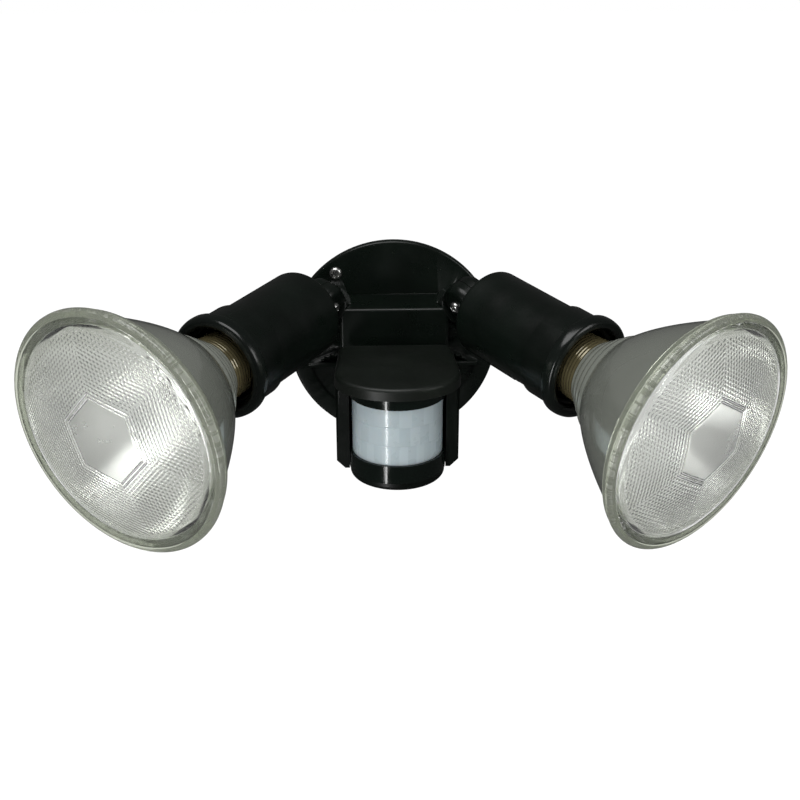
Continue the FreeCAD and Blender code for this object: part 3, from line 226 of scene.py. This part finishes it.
FINISH = {
    "housing_black": finish("satin_black_plastic", (0.0026, 0.005, 0.0034), 0.3, (0.26, 0.4), 1500, 0.035,
                            dust=0.03, Specular_IOR_Level=0.4),
    "cover_black": finish("moulded_black_plastic", (0.0034, 0.0066, 0.0044), 0.25, (0.24, 0.38), 900, 0.03,
                          dust=0.03, seed=2.0, Specular_IOR_Level=0.4),
    "hood_black": finish("fine_matte_plastic", (0.0066, 0.0092, 0.0068), 0.2, (0.34, 0.46), 2600, 0.05,
                         dust=0.05, seed=3.0, Specular_IOR_Level=0.45),
    "gloss_black": finish("gloss_black_plastic", (0.0036, 0.0062, 0.0048), 0.2, (0.1, 0.17), 700, 0.008,
                          seed=5.0, Specular_IOR_Level=0.5),
    "rubber_black": finish("wet_look_rubber", (0.0036, 0.0056, 0.0044), 0.25, (0.14, 0.26), 500, 0.02,
                           dust=0.02, seed=7.0, Specular_IOR_Level=0.5),
    "foam_grey": finish("closed_cell_foam", (0.09, 0.09, 0.088), 0.35, (0.85, 0.95), 1800, 0.12, seed=9.0),
    "zinc": finish("bright_zinc_plate", (0.60, 0.60, 0.585), 0.12, (0.2, 0.36), 2400, 0.02, seed=11.0,
                   Metallic=1.0),
    "zinc_cast": finish("cast_zinc", (0.55, 0.55, 0.55), 0.15, (0.35, 0.5), 1600, 0.05, seed=12.0,
                        Metallic=1.0),
    "porcelain": finish("glazed_porcelain", (0.80, 0.79, 0.75), 0.05, (0.12, 0.2), 260, 0.05, seed=13.0),
    "brass": finish("bright_brass", (0.72, 0.53, 0.27), 0.12, (0.2, 0.34), 1900, 0.02, seed=15.0,
                    Metallic=1.0),
    "base_metal": finish("rolled_aluminium", (0.72, 0.72, 0.71), 0.1, (0.22, 0.34), 1300, 0.02, seed=17.0,
                         Metallic=1.0),
    "nylon": finish("natural_nylon", (0.74, 0.73, 0.68), 0.08, (0.35, 0.45), 800, 0.02, seed=19.0,
                    Subsurface_Weight=0.2),
    "board_green": finish("solder_mask", (0.03, 0.17, 0.07), 0.2, (0.25, 0.4), 1100, 0.02, seed=21.0),
    "relay_blue": finish("blue_case", (0.03, 0.08, 0.28), 0.12, (0.3, 0.4), 900, 0.02, seed=23.0),
    "control_grey": finish("grey_control", (0.30, 0.30, 0.295), 0.12, (0.38, 0.5), 1400, 0.03, seed=25.0),
    "frosted_lens": finish("frosted_window", (0.50, 0.545, 0.56), 0.04, (0.26, 0.34), 900, 0.02, seed=27.0,
                           Subsurface_Weight=0.15, Coat_Weight=0.6, Coat_Roughness=0.09),
    # Painted shade: a darker copy of the frosted window finish, put on every second facet strip.
    "painted_facet_shade": finish("frosted_window_painted_shade", (0.465, 0.51, 0.525), 0.05, (0.24, 0.32), 900, 0.02, seed=28.0,
                          Subsurface_Weight=0.15, Coat_Weight=0.6, Coat_Roughness=0.09),
    "clear_glass": finish("pressed_clear_glass", (0.97, 0.98, 0.97), 0.01, (0.02, 0.05), 220, 0.004,
                          seed=29.0, Transmission_Weight=1.0, IOR=1.5),
    "etched_glass": finish("etched_glass", (0.96, 0.965, 0.95), 0.02, (0.26, 0.36), 1500, 0.06, seed=31.0,
                           Transmission_Weight=1.0, IOR=1.5),
    "rim_glass": finish("thick_green_glass", (0.70, 0.735, 0.63), 0.04, (0.04, 0.09), 260, 0.004, seed=32.0,
                        Transmission_Weight=0.82, IOR=1.5),
    "silver_back": finish("silvered_glass_back", (0.34, 0.36, 0.315), 0.04, (0.14, 0.24), 300, 0.01,
                          seed=33.0, Metallic=0.55, Coat_Weight=1.0, Coat_Roughness=0.05),
    "mirror_glass": finish("aluminised_mirror", (0.84, 0.845, 0.82), 0.03, (0.05, 0.1), 300, 0.01,
                           seed=35.0, Metallic=1.0),
    "amber_neck": finish("amber_lacquer", (0.13, 0.11, 0.055), 0.4, (0.12, 0.22), 380, 0.03, seed=37.0,
                         Metallic=0.5, Coat_Weight=1.0, Coat_Roughness=0.05),
}
print("finishes", len(FINISH))

# %% [markdown]
# ## Moulded and turned parts that keep their solids' shape
# Most of the housing is already right in the solids: fillets, ribs, hubs and slits are there. What
# the solids lack is smooth shading, because their triangles come loose. A merged copy of each mesh
# shades as one skin, and it stands for the node it was copied from. Along a fillet the large flat face
# must win, or its shading bends towards the fillet, so normals are weighted by area. Parts that are
# sealed inside keep their own mesh and only take their finish.


# %% Smooth copies of the housing's solids
def dressed(node, finish_name=None, sharp_over=28.0):
    mesh = frame["nodes"][node].data.copy()
    mesh.name = node + "_skin"
    mesh.materials.clear()
    mesh.materials.append(FINISH[finish_name or SLOT_OF[node]])
    work = bmesh.new()
    work.from_mesh(mesh)
    bmesh.ops.remove_doubles(work, verts=work.verts, dist=1e-6)
    work.to_mesh(mesh)
    work.free()
    mesh.polygons.foreach_set("material_index", np.zeros(len(mesh.polygons), np.int32))
    if mesh.has_custom_normals:
        mesh.normals_split_custom_set([(0, 0, 0)] * len(mesh.loops))
    mesh.shade_smooth()
    mesh.set_sharp_from_angle(angle=math.radians(sharp_over))
    piece = bpy.data.objects.new(node + "_skin", mesh)
    bpy.context.scene.collection.objects.link(piece)
    flats_first = piece.modifiers.new("flats_first", "WEIGHTED_NORMAL")
    flats_first.mode, flats_first.weight, flats_first.keep_sharp = "FACE_AREA", 100, True
    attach(piece, BODY_OF[node])
    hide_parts(node)
    return piece


ONE_OFF = ["foam_gasket", "sensor_arm", "sensor_arm_seal", "sensor_housing",
           "lens_top_ring", "lens_bottom_ring", "bottom_cap", "sensor_clamp_screw", "sensor_clamp_nut",
           "cap_screws", "range_knob", "time_switch", "ball_liner"]
PAIRED = ["arm", "arm_seal", "knuckle_nut", "lamp_holder", "bulb_base", "bulb_contact"]
for node in ONE_OFF + [f"{side}_{part}" for side in ("right", "left") for part in PAIRED]:
    dressed(node)
dressed("sensor_hood", "hood_black")
dressed("cover_plate", "cover_black")
for node, piece in frame["nodes"].items():
    slot_finish = FINISH.get(SLOT_OF[node], FINISH["housing_black"])
    piece.data.materials.clear()
    piece.data.materials.append(slot_finish)
print("skins", len(ONE_OFF) + 2 * len(PAIRED) + 1)

# %% [markdown]
# ## The rubber mouth rings
# A soft ring is rolled over each sleeve's mouth and grips the bulb's neck, so it is round everywhere
# and shines like wet rubber. A revolved profile suits it, with a slight hollow behind the lip where
# the rubber folds back on the sleeve.

# %% Mouth rings
RING_PROFILE = soften([
    (80.35, 19.05, 0.3), (80.35, 20.45, 0.2), (85.4, 20.45, 0.0), (85.4, 25.5, 0.25), (86.0, 26.3, 0.5),
    (86.5, 26.35, 0.2), (87.0, 27.25, 0.55), (89.6, 27.35, 1.4), (92.6, 26.7, 1.2), (93.75, 24.9, 0.9),
    (93.6, 23.0, 0.8), (91.9, 21.5, 0.9), (88.4, 21.0, 0.6), (86.8, 19.1, 0.6),
], 7)
for side in ("right", "left"):
    rings = lathe(RING_PROFILE, 160)
    faces = grid_faces(len(RING_PROFILE), 160, closed_rows=True)
    build(side + "_mouth_roll", on_lamp(side, rings), faces.tolist(), [FINISH["rubber_black"]],
          np.zeros(len(faces)), side + "_lamp", [side + "_mouth_ring"], 50.0)

# %% [markdown]
# ## The reflector bulbs' glass bowls
# The back of a pressed-glass reflector bulb is a thick bowl, silvered inside. Behind its parabola the
# glass steps down to the neck in rounded shoulders, and the neck above the socket has fine ridges with
# an amber lacquer. The outline is a function of the distance along the axis, so the parabola is a real
# one: the radius squared grows evenly. The inner wall is the same curve, moved in by the glass.

# %% Bowl profiles
NECK_REAR, NECK_FRONT, THROAT_FRONT, BOWL_FRONT, SEAM = 67.1, 100.1, 114.1, 157.2, 162.2
NECK_R, NECK_SWELL_R, NECK_MOUTH_R, THROAT_R, BOWL_R, SEAM_R = 15.2, 16.2, 17.6, 27.3, 54.3, 59.0
GLASS, AMBER_FRONT = 2.6, 98.5
RIM_INSIDE_R = BOWL_R - GLASS + 0.8


def bowl_profile(inset, ridges):
    """Neck: straight with sine ridges. Throat: three shoulders that rise fast and level out.
    Bowl: radius = square root of a straight line in the distance. Rim: a flare to the seam."""
    neck = np.linspace(NECK_REAR, NECK_FRONT, 110)
    swell = np.clip((neck - NECK_REAR) / 6.6, 0, 1)
    taper = np.clip((neck - NECK_REAR - 6.6) / 26.4, 0, 1)
    neck_r = NECK_R + (NECK_SWELL_R - NECK_R) * swell + (NECK_MOUTH_R - NECK_SWELL_R) * taper
    ripple = np.clip((neck - 84) / 3, 0, 1) * np.clip((99.6 - neck) / 0.8, 0, 1)
    neck_r = neck_r - ridges * ripple * (0.5 - 0.5 * np.cos(2 * np.pi * neck / 1.9))
    throat = np.linspace(NECK_FRONT, THROAT_FRONT, 61)[1:]
    x = 3 * (throat - NECK_FRONT) / (THROAT_FRONT - NECK_FRONT)
    step = np.minimum(np.floor(x), 2)
    throat_r = NECK_MOUTH_R + (THROAT_R - NECK_MOUTH_R) * (step + 1 - (1 - (x - step)) ** 2.4) / 3
    bowl = np.linspace(THROAT_FRONT, BOWL_FRONT, 60)[1:]
    share = (bowl - THROAT_FRONT) / (BOWL_FRONT - THROAT_FRONT)
    bowl_r = np.sqrt(THROAT_R**2 + share * (BOWL_R**2 - THROAT_R**2))
    along, radius = np.concatenate([neck, throat, bowl]), np.concatenate([neck_r, throat_r, bowl_r])
    return np.stack([along, radius - inset], 1)


OUTER = np.concatenate([bowl_profile(0, 0.35),
                        [[157.9, 55.6], [158.8, 57.1], [160.0, 58.2], [161.2, 58.75], [SEAM, SEAM_R]]])
INNER = np.concatenate([bowl_profile(GLASS, 0.0), [[SEAM, RIM_INSIDE_R]]])
for side in ("right", "left"):
    profile = np.concatenate([OUTER, INNER[::-1]])
    faces = grid_faces(len(profile), 160, closed_rows=True)
    row = np.repeat(np.arange(len(profile)), 160)
    along = profile[row, 0]
    outside = row < len(OUTER)
    finish_no = np.select([~outside, along < AMBER_FRONT, along > BOWL_FRONT], [1, 2, 3], 0)
    build(side + "_bulb_bowl", on_lamp(side, lathe(profile, 160)), faces.tolist(),
          [FINISH[n] for n in ("silver_back", "mirror_glass", "amber_neck", "rim_glass")], finish_no,
          side + "_bulb", [side + "_bulb_reflector"], 50.0)

# %% [markdown]
# ## The bulbs' front lenses
# The front glass is smooth outside and patterned inside. Rows of small pillow-shaped prisms run
# parallel to the sides of a hexagon in the middle, and each of the six sectors has its own direction.
# A lattice of nested hexagons therefore carries the pattern exactly: its rings are the rows. The
# hexagon has a double raised border and an etched centre. The lattice is cut along a circle where the
# pattern ends. From that circle the same ring of points goes on over the plain glass, the thick rim
# and the outer dome, so the lens is one closed body.

# %% Prism lattice and closed lens
STEP, RINGS, CUT_R = 0.5, 118, 50.6
PRISM_ROWS, PRISM_LENGTH, PRISM_DEPTH = 4.0, 4.6, 0.42
HEX_ROW, HEX_GAP, PATTERN_EDGE = 46, 4, 50.3
OUT_APEX, IN_APEX, SHOULDER, SHOULDER_IN = 175.1, 171.5, 167.13, 163.53
DOME_R, HALF_TURN = 57.3, np.pi / 3


def dome(apex, edge, edge_radius, radius):
    """Height of a spherical cap at a radius: it passes through its apex and its edge circle."""
    sag = apex - edge
    sphere = (edge_radius**2 + sag**2) / (2 * sag)
    return apex - sphere + np.sqrt(sphere**2 - radius**2)


def hexagon_lattice(turn):
    """Centre point, then nested hexagons: ring i has 6i points, spaced evenly along its sides."""
    ring = np.repeat(np.arange(1, RINGS + 1), 6 * np.arange(1, RINGS + 1))
    place = np.arange(len(ring)) - 3 * (ring - 1) * ring
    sector, j = place // ring, place % ring
    a = turn + sector * HALF_TURN
    share = j / ring
    x = ring * STEP * ((1 - share) * np.cos(a) + share * np.cos(a + HALF_TURN))
    y = ring * STEP * ((1 - share) * np.sin(a) + share * np.sin(a + HALF_TURN))
    spot = lambda i, m: np.where(i == 0, 0, 1 + 3 * (i - 1) * i + m % np.maximum(6 * i, 1))
    out0, out1 = spot(ring, sector * ring + j), spot(ring, sector * ring + j + 1)
    in0, in1 = spot(ring - 1, sector * (ring - 1) + j), spot(ring - 1, sector * (ring - 1) + j + 1)
    up = np.stack([out0, out1, in0], 1)
    down = np.stack([in0, out1, in1], 1)[j < ring - 1]
    rows = np.concatenate([ring, ring[j < ring - 1]])
    along_side = (j - ring / 2) * 1.0
    return np.concatenate([[[0.0, 0.0]], np.stack([x, y], 1)]), ring, along_side, np.concatenate([up, down]), rows


def prism_relief(ring, along_side, radius):
    """Pillows: the product of two parabolas, one across the row and one along it; every second row
    is shifted by half a prism. The border is two ridges, and the centre a fine stipple."""
    across = ring / PRISM_ROWS
    row = np.floor(across)
    lengthwise = along_side / PRISM_LENGTH + 0.5 * (row % 2)
    pillow = lambda v: 1 - (2 * (v - np.floor(v)) - 1) ** 2
    fade = np.clip((PATTERN_EDGE - radius) / 1.5, 0, 1)
    relief = PRISM_DEPTH * pillow(across) * (0.25 + 0.75 * pillow(lengthwise)) * fade
    border = np.maximum(1 - np.abs(ring - HEX_ROW) / 1.5, 1 - np.abs(ring - HEX_ROW + HEX_GAP) / 1.5)
    stipple = 0.05 * np.sin(ring * 12.9898 + along_side * 78.233) * np.sin(along_side * 37.719 + ring * 4.1)
    inside = ring < HEX_ROW - HEX_GAP - 1
    relief = np.where(ring <= HEX_ROW + 1, 0.6 * np.clip(border, 0, 1), relief)
    return np.where(inside, stipple, relief)


def cut_round(flat, relief, triangles, rows):
    """Drops triangles beyond the cut circle, and moves the outer corners of the last ones onto it."""
    radius = np.hypot(flat[:, 0], flat[:, 1])
    beyond = radius >= CUT_R
    keep = ~beyond[triangles].all(1)
    used, renumbered = np.unique(triangles[keep], return_inverse=True)
    shrink = np.where(beyond, CUT_R / np.maximum(radius, 1e-9), 1.0)[:, None]
    flat = (flat * shrink)[used]
    edge = np.flatnonzero(beyond[used])
    edge = edge[np.argsort(np.arctan2(flat[edge, 1], flat[edge, 0]))]
    return flat, np.where(beyond, 0.0, relief)[used], renumbered.reshape(-1, 3), rows[keep], edge


def lens_mesh(turn):
    flat, ring, along_side, triangles, rows = hexagon_lattice(turn)
    relief = prism_relief(ring, along_side, np.hypot(flat[1:, 0], flat[1:, 1]))
    relief = np.concatenate([[0.0], relief])
    flat, relief, triangles, rows, edge = cut_round(flat, relief, triangles, rows)
    radius = np.hypot(flat[:, 0], flat[:, 1])
    inner = np.stack([dome(IN_APEX, SHOULDER_IN, RIM_INSIDE_R, radius) - relief, flat[:, 0], flat[:, 1]], 1)
    count = len(edge)
    angle, reach = np.arctan2(flat[edge, 1], flat[edge, 0]), radius[edge]
    w = np.linspace(0, 1, 5)[1:, None]
    skirt_r = (1 - w) * reach + w * RIM_INSIDE_R
    skirt_s = dome(IN_APEX, SHOULDER_IN, RIM_INSIDE_R, skirt_r)
    rim = soften([(SEAM, 52.55, 0.1), (SEAM, 59.0, 0.25), (163.6, 60.25, 0.9), (165.4, 60.35, 0.7),
                  (166.6, 59.4, 0.6), (SHOULDER, DOME_R, 0.5)], 4)
    dome_r = np.linspace(DOME_R - 0.6, 0.0, 24)[:, None]
    ring_s = np.concatenate([rim[:, :1], dome(OUT_APEX, SHOULDER, DOME_R, dome_r)])
    ring_r = np.concatenate([rim[:, 1:], dome_r])
    full_s = np.concatenate([skirt_s, ring_s + 0 * reach])
    full_r = np.concatenate([skirt_r, ring_r + 0 * reach])
    shell = np.stack([full_s, full_r * np.cos(angle), full_r * np.sin(angle)], -1)
    points = np.concatenate([inner, shell.reshape(-1, 3)])
    start = len(inner) + np.arange(count)
    joining = np.stack([edge, np.roll(edge, -1), np.roll(start, -1), start], 1)
    quads = np.concatenate([joining, grid_faces(len(shell), count, first=len(inner))])
    faces = triangles.tolist() + quads.tolist()
    strip = np.arange(len(quads)) // count - len(skirt_r)
    at_rim = (strip >= 0) & (strip < len(rim))
    return points, faces, np.concatenate([rows < HEX_ROW - HEX_GAP, 2 * at_rim])


for side, turn in (("right", 10.0), ("left", -4.0)):
    points, faces, etched = lens_mesh(math.radians(turn))
    build(side + "_bulb_front", on_lamp(side, points), faces,
          [FINISH[n] for n in ("clear_glass", "etched_glass", "rim_glass")], etched, side + "_bulb",
          [side + "_bulb_lens"], 60.0)

# %% [markdown]
# ## Screw heads
# The screws are zinc-plated pan heads with a cross recess. A head is a flattened dome on a polar grid,
# and the recess is a dip in the same height formula, so head and recess are one skin. The shank is the
# continuation of the outermost ring of points.


# %% Cross-recess screws
def screw_points(head_r, head_h, shanks, around=96):
    """Height = head_h (1 - (r/R)^3.2) with a rounded edge; the cross recess takes away up to 55 per
    cent where |x| or |y| is under its half width, fading out towards its ends."""
    r = head_r * np.linspace(0, 1, 34)[:, None]
    a = np.linspace(0, 2 * np.pi, around, endpoint=False)[None, :]
    x, y = r * np.cos(a), r * np.sin(a)
    crown = head_h * (1 - (r / head_r) ** 3.2) ** 0.5
    slot = lambda across, lengthwise: (np.clip((0.17 * head_r - np.abs(across)) / (0.06 * head_r), 0, 1)
                                       * np.clip((0.62 * head_r - np.abs(lengthwise)) / (0.16 * head_r), 0, 1))
    recess = np.maximum(slot(x, y), slot(y, x))
    head = np.stack([-(crown - 0.55 * head_h * recess), x, y], -1)
    tail = np.array(shanks + [(shanks[-1][0], 0.0)])
    shank = np.stack([tail[:, :1] + 0 * a, tail[:, 1:] * np.cos(a), tail[:, 1:] * np.sin(a)], -1)
    return np.concatenate([head, shank]), grid_faces(34 + len(tail), around)


def placed(points, origin, direction, spin=0.0):
    """Turns +along to a direction and moves the origin; spin turns the recess about the axis."""
    along = np.array(direction, float)
    along /= np.linalg.norm(along)
    side_way = np.cross(along, [0.0, 0.0, 1.0])
    side_way /= np.linalg.norm(side_way)
    other = np.cross(along, side_way)
    c, s = math.cos(spin), math.sin(spin)
    axes = np.array([along, c * side_way + s * other, c * other - s * side_way])
    return np.array(origin, float) + points.reshape(-1, 3) @ axes


PLATE_FACE = -5.5
screws, screw_faces, first = [], [], 0
points, faces = screw_points(3.65, 2.3, [(0.0, 1.8), (5.5, 1.8), (5.5, 2.08), (25.1, 2.08), (25.5, 1.7)])
for sign, spin in ((1, 0.5), (-1, 1.1)):
    angle = math.radians(128.0)
    x, z = sign * 52.2 * math.cos(angle), sign * 52.2 * math.sin(angle)
    screws.append(placed(points, (x, PLATE_FACE, z), (0, 1, 0), spin))
    screw_faces += (faces + first).tolist()
    first += points.reshape(-1, 3).shape[0]
build("cover_screw_pair", np.concatenate(screws), screw_faces, [FINISH["zinc"]],
      np.zeros(len(screw_faces)), "cover", ["cover_screws"], 40.0)

for side in ("right", "left"):
    points, faces = screw_points(3.3, 2.4, [(0.0, 2.0), (17.9, 2.0), (18.3, 1.6)])
    pin, lamp_axes = lamp_frame(side)
    arm_out = lamp_axes[1]
    head_seat = pin - arm_out * 8.65
    build(side + "_knuckle_pin", placed(points, head_seat, arm_out, 0.4), faces.tolist(), [FINISH["zinc"]],
          np.zeros(len(faces)), side + "_lamp_arm", [side + "_knuckle_screw"], 40.0)

# %% [markdown]
# ## The sensor's window
# The curved window is a thin sheet of frosted plastic. Inside it carries bands of upright facets that
# gather the infrared. Their edges are worked into the inner wall as shallow steps, while the outside
# stays smooth and slightly glossy. The faint lighter and darker strips where the facets show through are
# painted shade: every second facet's strip on the outer wall takes a darker copy of the frosted finish.

# %% Frosted window
AXIS_Y, WINDOW_R, WINDOW_WALL = -76.0, 24.0, 1.2
WINDOW_TOP, WINDOW_BOTTOM, SWEEP = -2.05, -33.55, 229.6


def window_mesh(columns=420, rows=96):
    """Outer wall: a cylinder with two hairline grooves. Inner wall: the same, with saw-tooth facets in
    three bands, each band's teeth being a different width."""
    a = np.radians(np.linspace(-SWEEP / 2, SWEEP / 2, columns))[None, :]
    z = np.linspace(WINDOW_BOTTOM, WINDOW_TOP, rows)[:, None]
    share = (z - WINDOW_BOTTOM) / (WINDOW_TOP - WINDOW_BOTTOM)
    band = np.minimum(np.floor(3 * share), 2)
    groove = 0.18 * np.exp(-((((3 * share + 0.5) % 1 - 0.5) * 10.5 / 0.22) ** 2)) * (share > 0.1) * (share < 0.9)
    tooth = (np.degrees(a) / (11.0 + 2.5 * band)) % 1
    inner_r = WINDOW_R - WINDOW_WALL + 0.22 * tooth
    outer_r = WINDOW_R - groove + 0 * a
    wall = lambda r: np.stack([r * np.sin(a), AXIS_Y - r * np.cos(a), z + 0 * a], -1)
    outer, inner = wall(outer_r), wall(inner_r + 0 * z)
    loop = np.concatenate([outer, inner[:, ::-1]], 1)
    faces = grid_faces(rows, 2 * columns).tolist()
    ends = []
    for base in (0, (rows - 1) * 2 * columns):
        j = np.arange(columns - 1)
        k = 2 * columns - 1 - j
        ends.append(np.stack([base + j, base + j + 1, base + k - 1, base + k], 1))
    # Every second facet's strip on the outer wall takes the darker frosted copy: painted shade where the facets show
    # through.
    facet = np.floor(np.degrees(a) / (11.0 + 2.5 * band)) + band
    shade = np.concatenate([facet[:-1] % 2, 0 * facet[:-1]], 1).ravel()
    return loop.reshape(-1, 3), faces + np.concatenate(ends).tolist(), shade


points, faces, shade = window_mesh()
shade = np.concatenate([shade, np.zeros(len(faces) - len(shade))])
build("sensor_window", points, faces, [FINISH["frosted_lens"], FINISH["painted_facet_shade"]], shade,
      "sensor_head", ["sensor_lens"], 40.0)

# %% [markdown]
# ## Floor, light and camera
# The photograph is a plain product shot: white all round and soft light from above. A pale floor lies
# far below and keeps the shadow. The background is made white where the camera looks at it, pale where
# a refraction does and dark where a reflection does, and not by turning up the light on the object.

# %% Floor
floor_mesh = bpy.data.meshes.new("floor")
FLOOR_Z, FLOOR_HALF = -0.45, 6.0
corners = [(-FLOOR_HALF, -FLOOR_HALF), (FLOOR_HALF, -FLOOR_HALF), (FLOOR_HALF, FLOOR_HALF), (-FLOOR_HALF, FLOOR_HALF)]
floor_mesh.from_pydata([(x, y, FLOOR_Z) for x, y in corners], [], [(0, 1, 2, 3)])
floor = bpy.data.objects.new("floor", floor_mesh)
bpy.context.scene.collection.objects.link(floor)
floor_paint = bpy.data.materials.new("pale_floor")
floor_paint.use_nodes = True
tree = floor_paint.node_tree


def by_ray(tree, ray, plain, seen):
    """A value that changes from plain to seen where a kind of ray arrives; plain may be a socket."""
    node = tree.nodes.new("ShaderNodeMapRange")
    path = tree.nodes.new("ShaderNodeLightPath")
    tree.links.new(path.outputs[ray], node.inputs["Value"])
    node.inputs["To Max"].default_value = seen
    if isinstance(plain, float):
        node.inputs["To Min"].default_value = plain
    else:
        tree.links.new(plain, node.inputs["To Min"])
    return node.outputs["Result"]


FLOOR_TONE, FLOOR_MIRRORED, FLOOR_GLOW, GLOW_SHARE = 0.8, 0.05, 1.16, 0.8
tree.links.new(by_ray(tree, "Is Glossy Ray", FLOOR_TONE, FLOOR_MIRRORED),
               tree.nodes["Principled BSDF"].inputs["Base Color"])
tree.nodes["Principled BSDF"].inputs["Roughness"].default_value = 0.9
tree.nodes["Principled BSDF"].inputs["Specular IOR Level"].default_value = 0.0
glow = tree.nodes.new("ShaderNodeEmission")
glow.inputs["Strength"].default_value = FLOOR_GLOW
mix = tree.nodes.new("ShaderNodeMixShader")
share = by_ray(tree, "Is Camera Ray", by_ray(tree, "Is Transmission Ray", 0.0, GLOW_SHARE), GLOW_SHARE)
tree.links.new(share, mix.inputs[0])
tree.links.new(tree.nodes["Principled BSDF"].outputs[0], mix.inputs[1])
tree.links.new(glow.outputs[0], mix.inputs[2])
tree.links.new(mix.outputs[0], tree.nodes["Material Output"].inputs["Surface"])
floor_mesh.materials.append(floor_paint)

# %% World and lamps
world = bpy.data.worlds.new("studio")
bpy.context.scene.world = world
world.use_nodes = True
tree = world.node_tree
WORLD_LIGHT, WORLD_MIRRORED, WORLD_THROUGH_GLASS = 0.62, 0.07, 0.8
back = tree.nodes["Background"]
back.inputs["Color"].default_value = (1, 1, 1, 1)
mirrored = by_ray(tree, "Is Glossy Ray", WORLD_LIGHT, WORLD_MIRRORED)
through = by_ray(tree, "Is Transmission Ray", mirrored, WORLD_THROUGH_GLASS)
tree.links.new(by_ray(tree, "Is Camera Ray", through, 1.0), back.inputs["Strength"])


def softbox(name, place, aim, width, height, watts):
    """A rectangular lamp at a place, aimed at a point, both in metres."""
    light = bpy.data.lights.new(name, "AREA")
    light.shape = "RECTANGLE"
    light.size, light.size_y, light.energy = width, height, watts
    lamp = bpy.data.objects.new(name, light)
    lamp.location = place
    lamp.rotation_euler = (Vector(aim) - Vector(place)).to_track_quat("-Z", "Y").to_euler()
    bpy.context.scene.collection.objects.link(lamp)
    return lamp


softbox("top_box", (-0.15, -0.35, 0.95), (0, -0.05, 0), 0.8, 0.6, 5.0)
softbox("low_strip", (-0.35, -0.72, -0.14), (0, -0.08, -0.03), 0.06, 0.54, 1.6)
softbox("right_box", (0.9, -0.6, 0.45), (0, -0.05, 0), 0.5, 0.5, 2.5)

# %% Camera
bpy.context.scene.view_settings.view_transform = "Standard"
TARGET = Vector((0.0043, 0.0, -0.0394))
DISTANCE, ELEVATION, AZIMUTH = 0.741, math.radians(23.2), math.radians(-2.2)
back_way = Vector((math.sin(AZIMUTH) * math.cos(ELEVATION), -math.cos(AZIMUTH) * math.cos(ELEVATION),
                   math.sin(ELEVATION)))
camera_data = bpy.data.cameras.new("camera")
camera_data.sensor_width = 36.0
camera_data.lens = 56.3
camera_data.clip_start = 0.01
camera = bpy.data.objects.new("camera", camera_data)
camera.location = TARGET + back_way * DISTANCE
camera.rotation_euler = (-back_way).to_track_quat("-Z", "Y").to_euler()
bpy.context.scene.collection.objects.link(camera)
bpy.context.scene.camera = camera
print("camera", [round(v, 4) for v in camera.location])
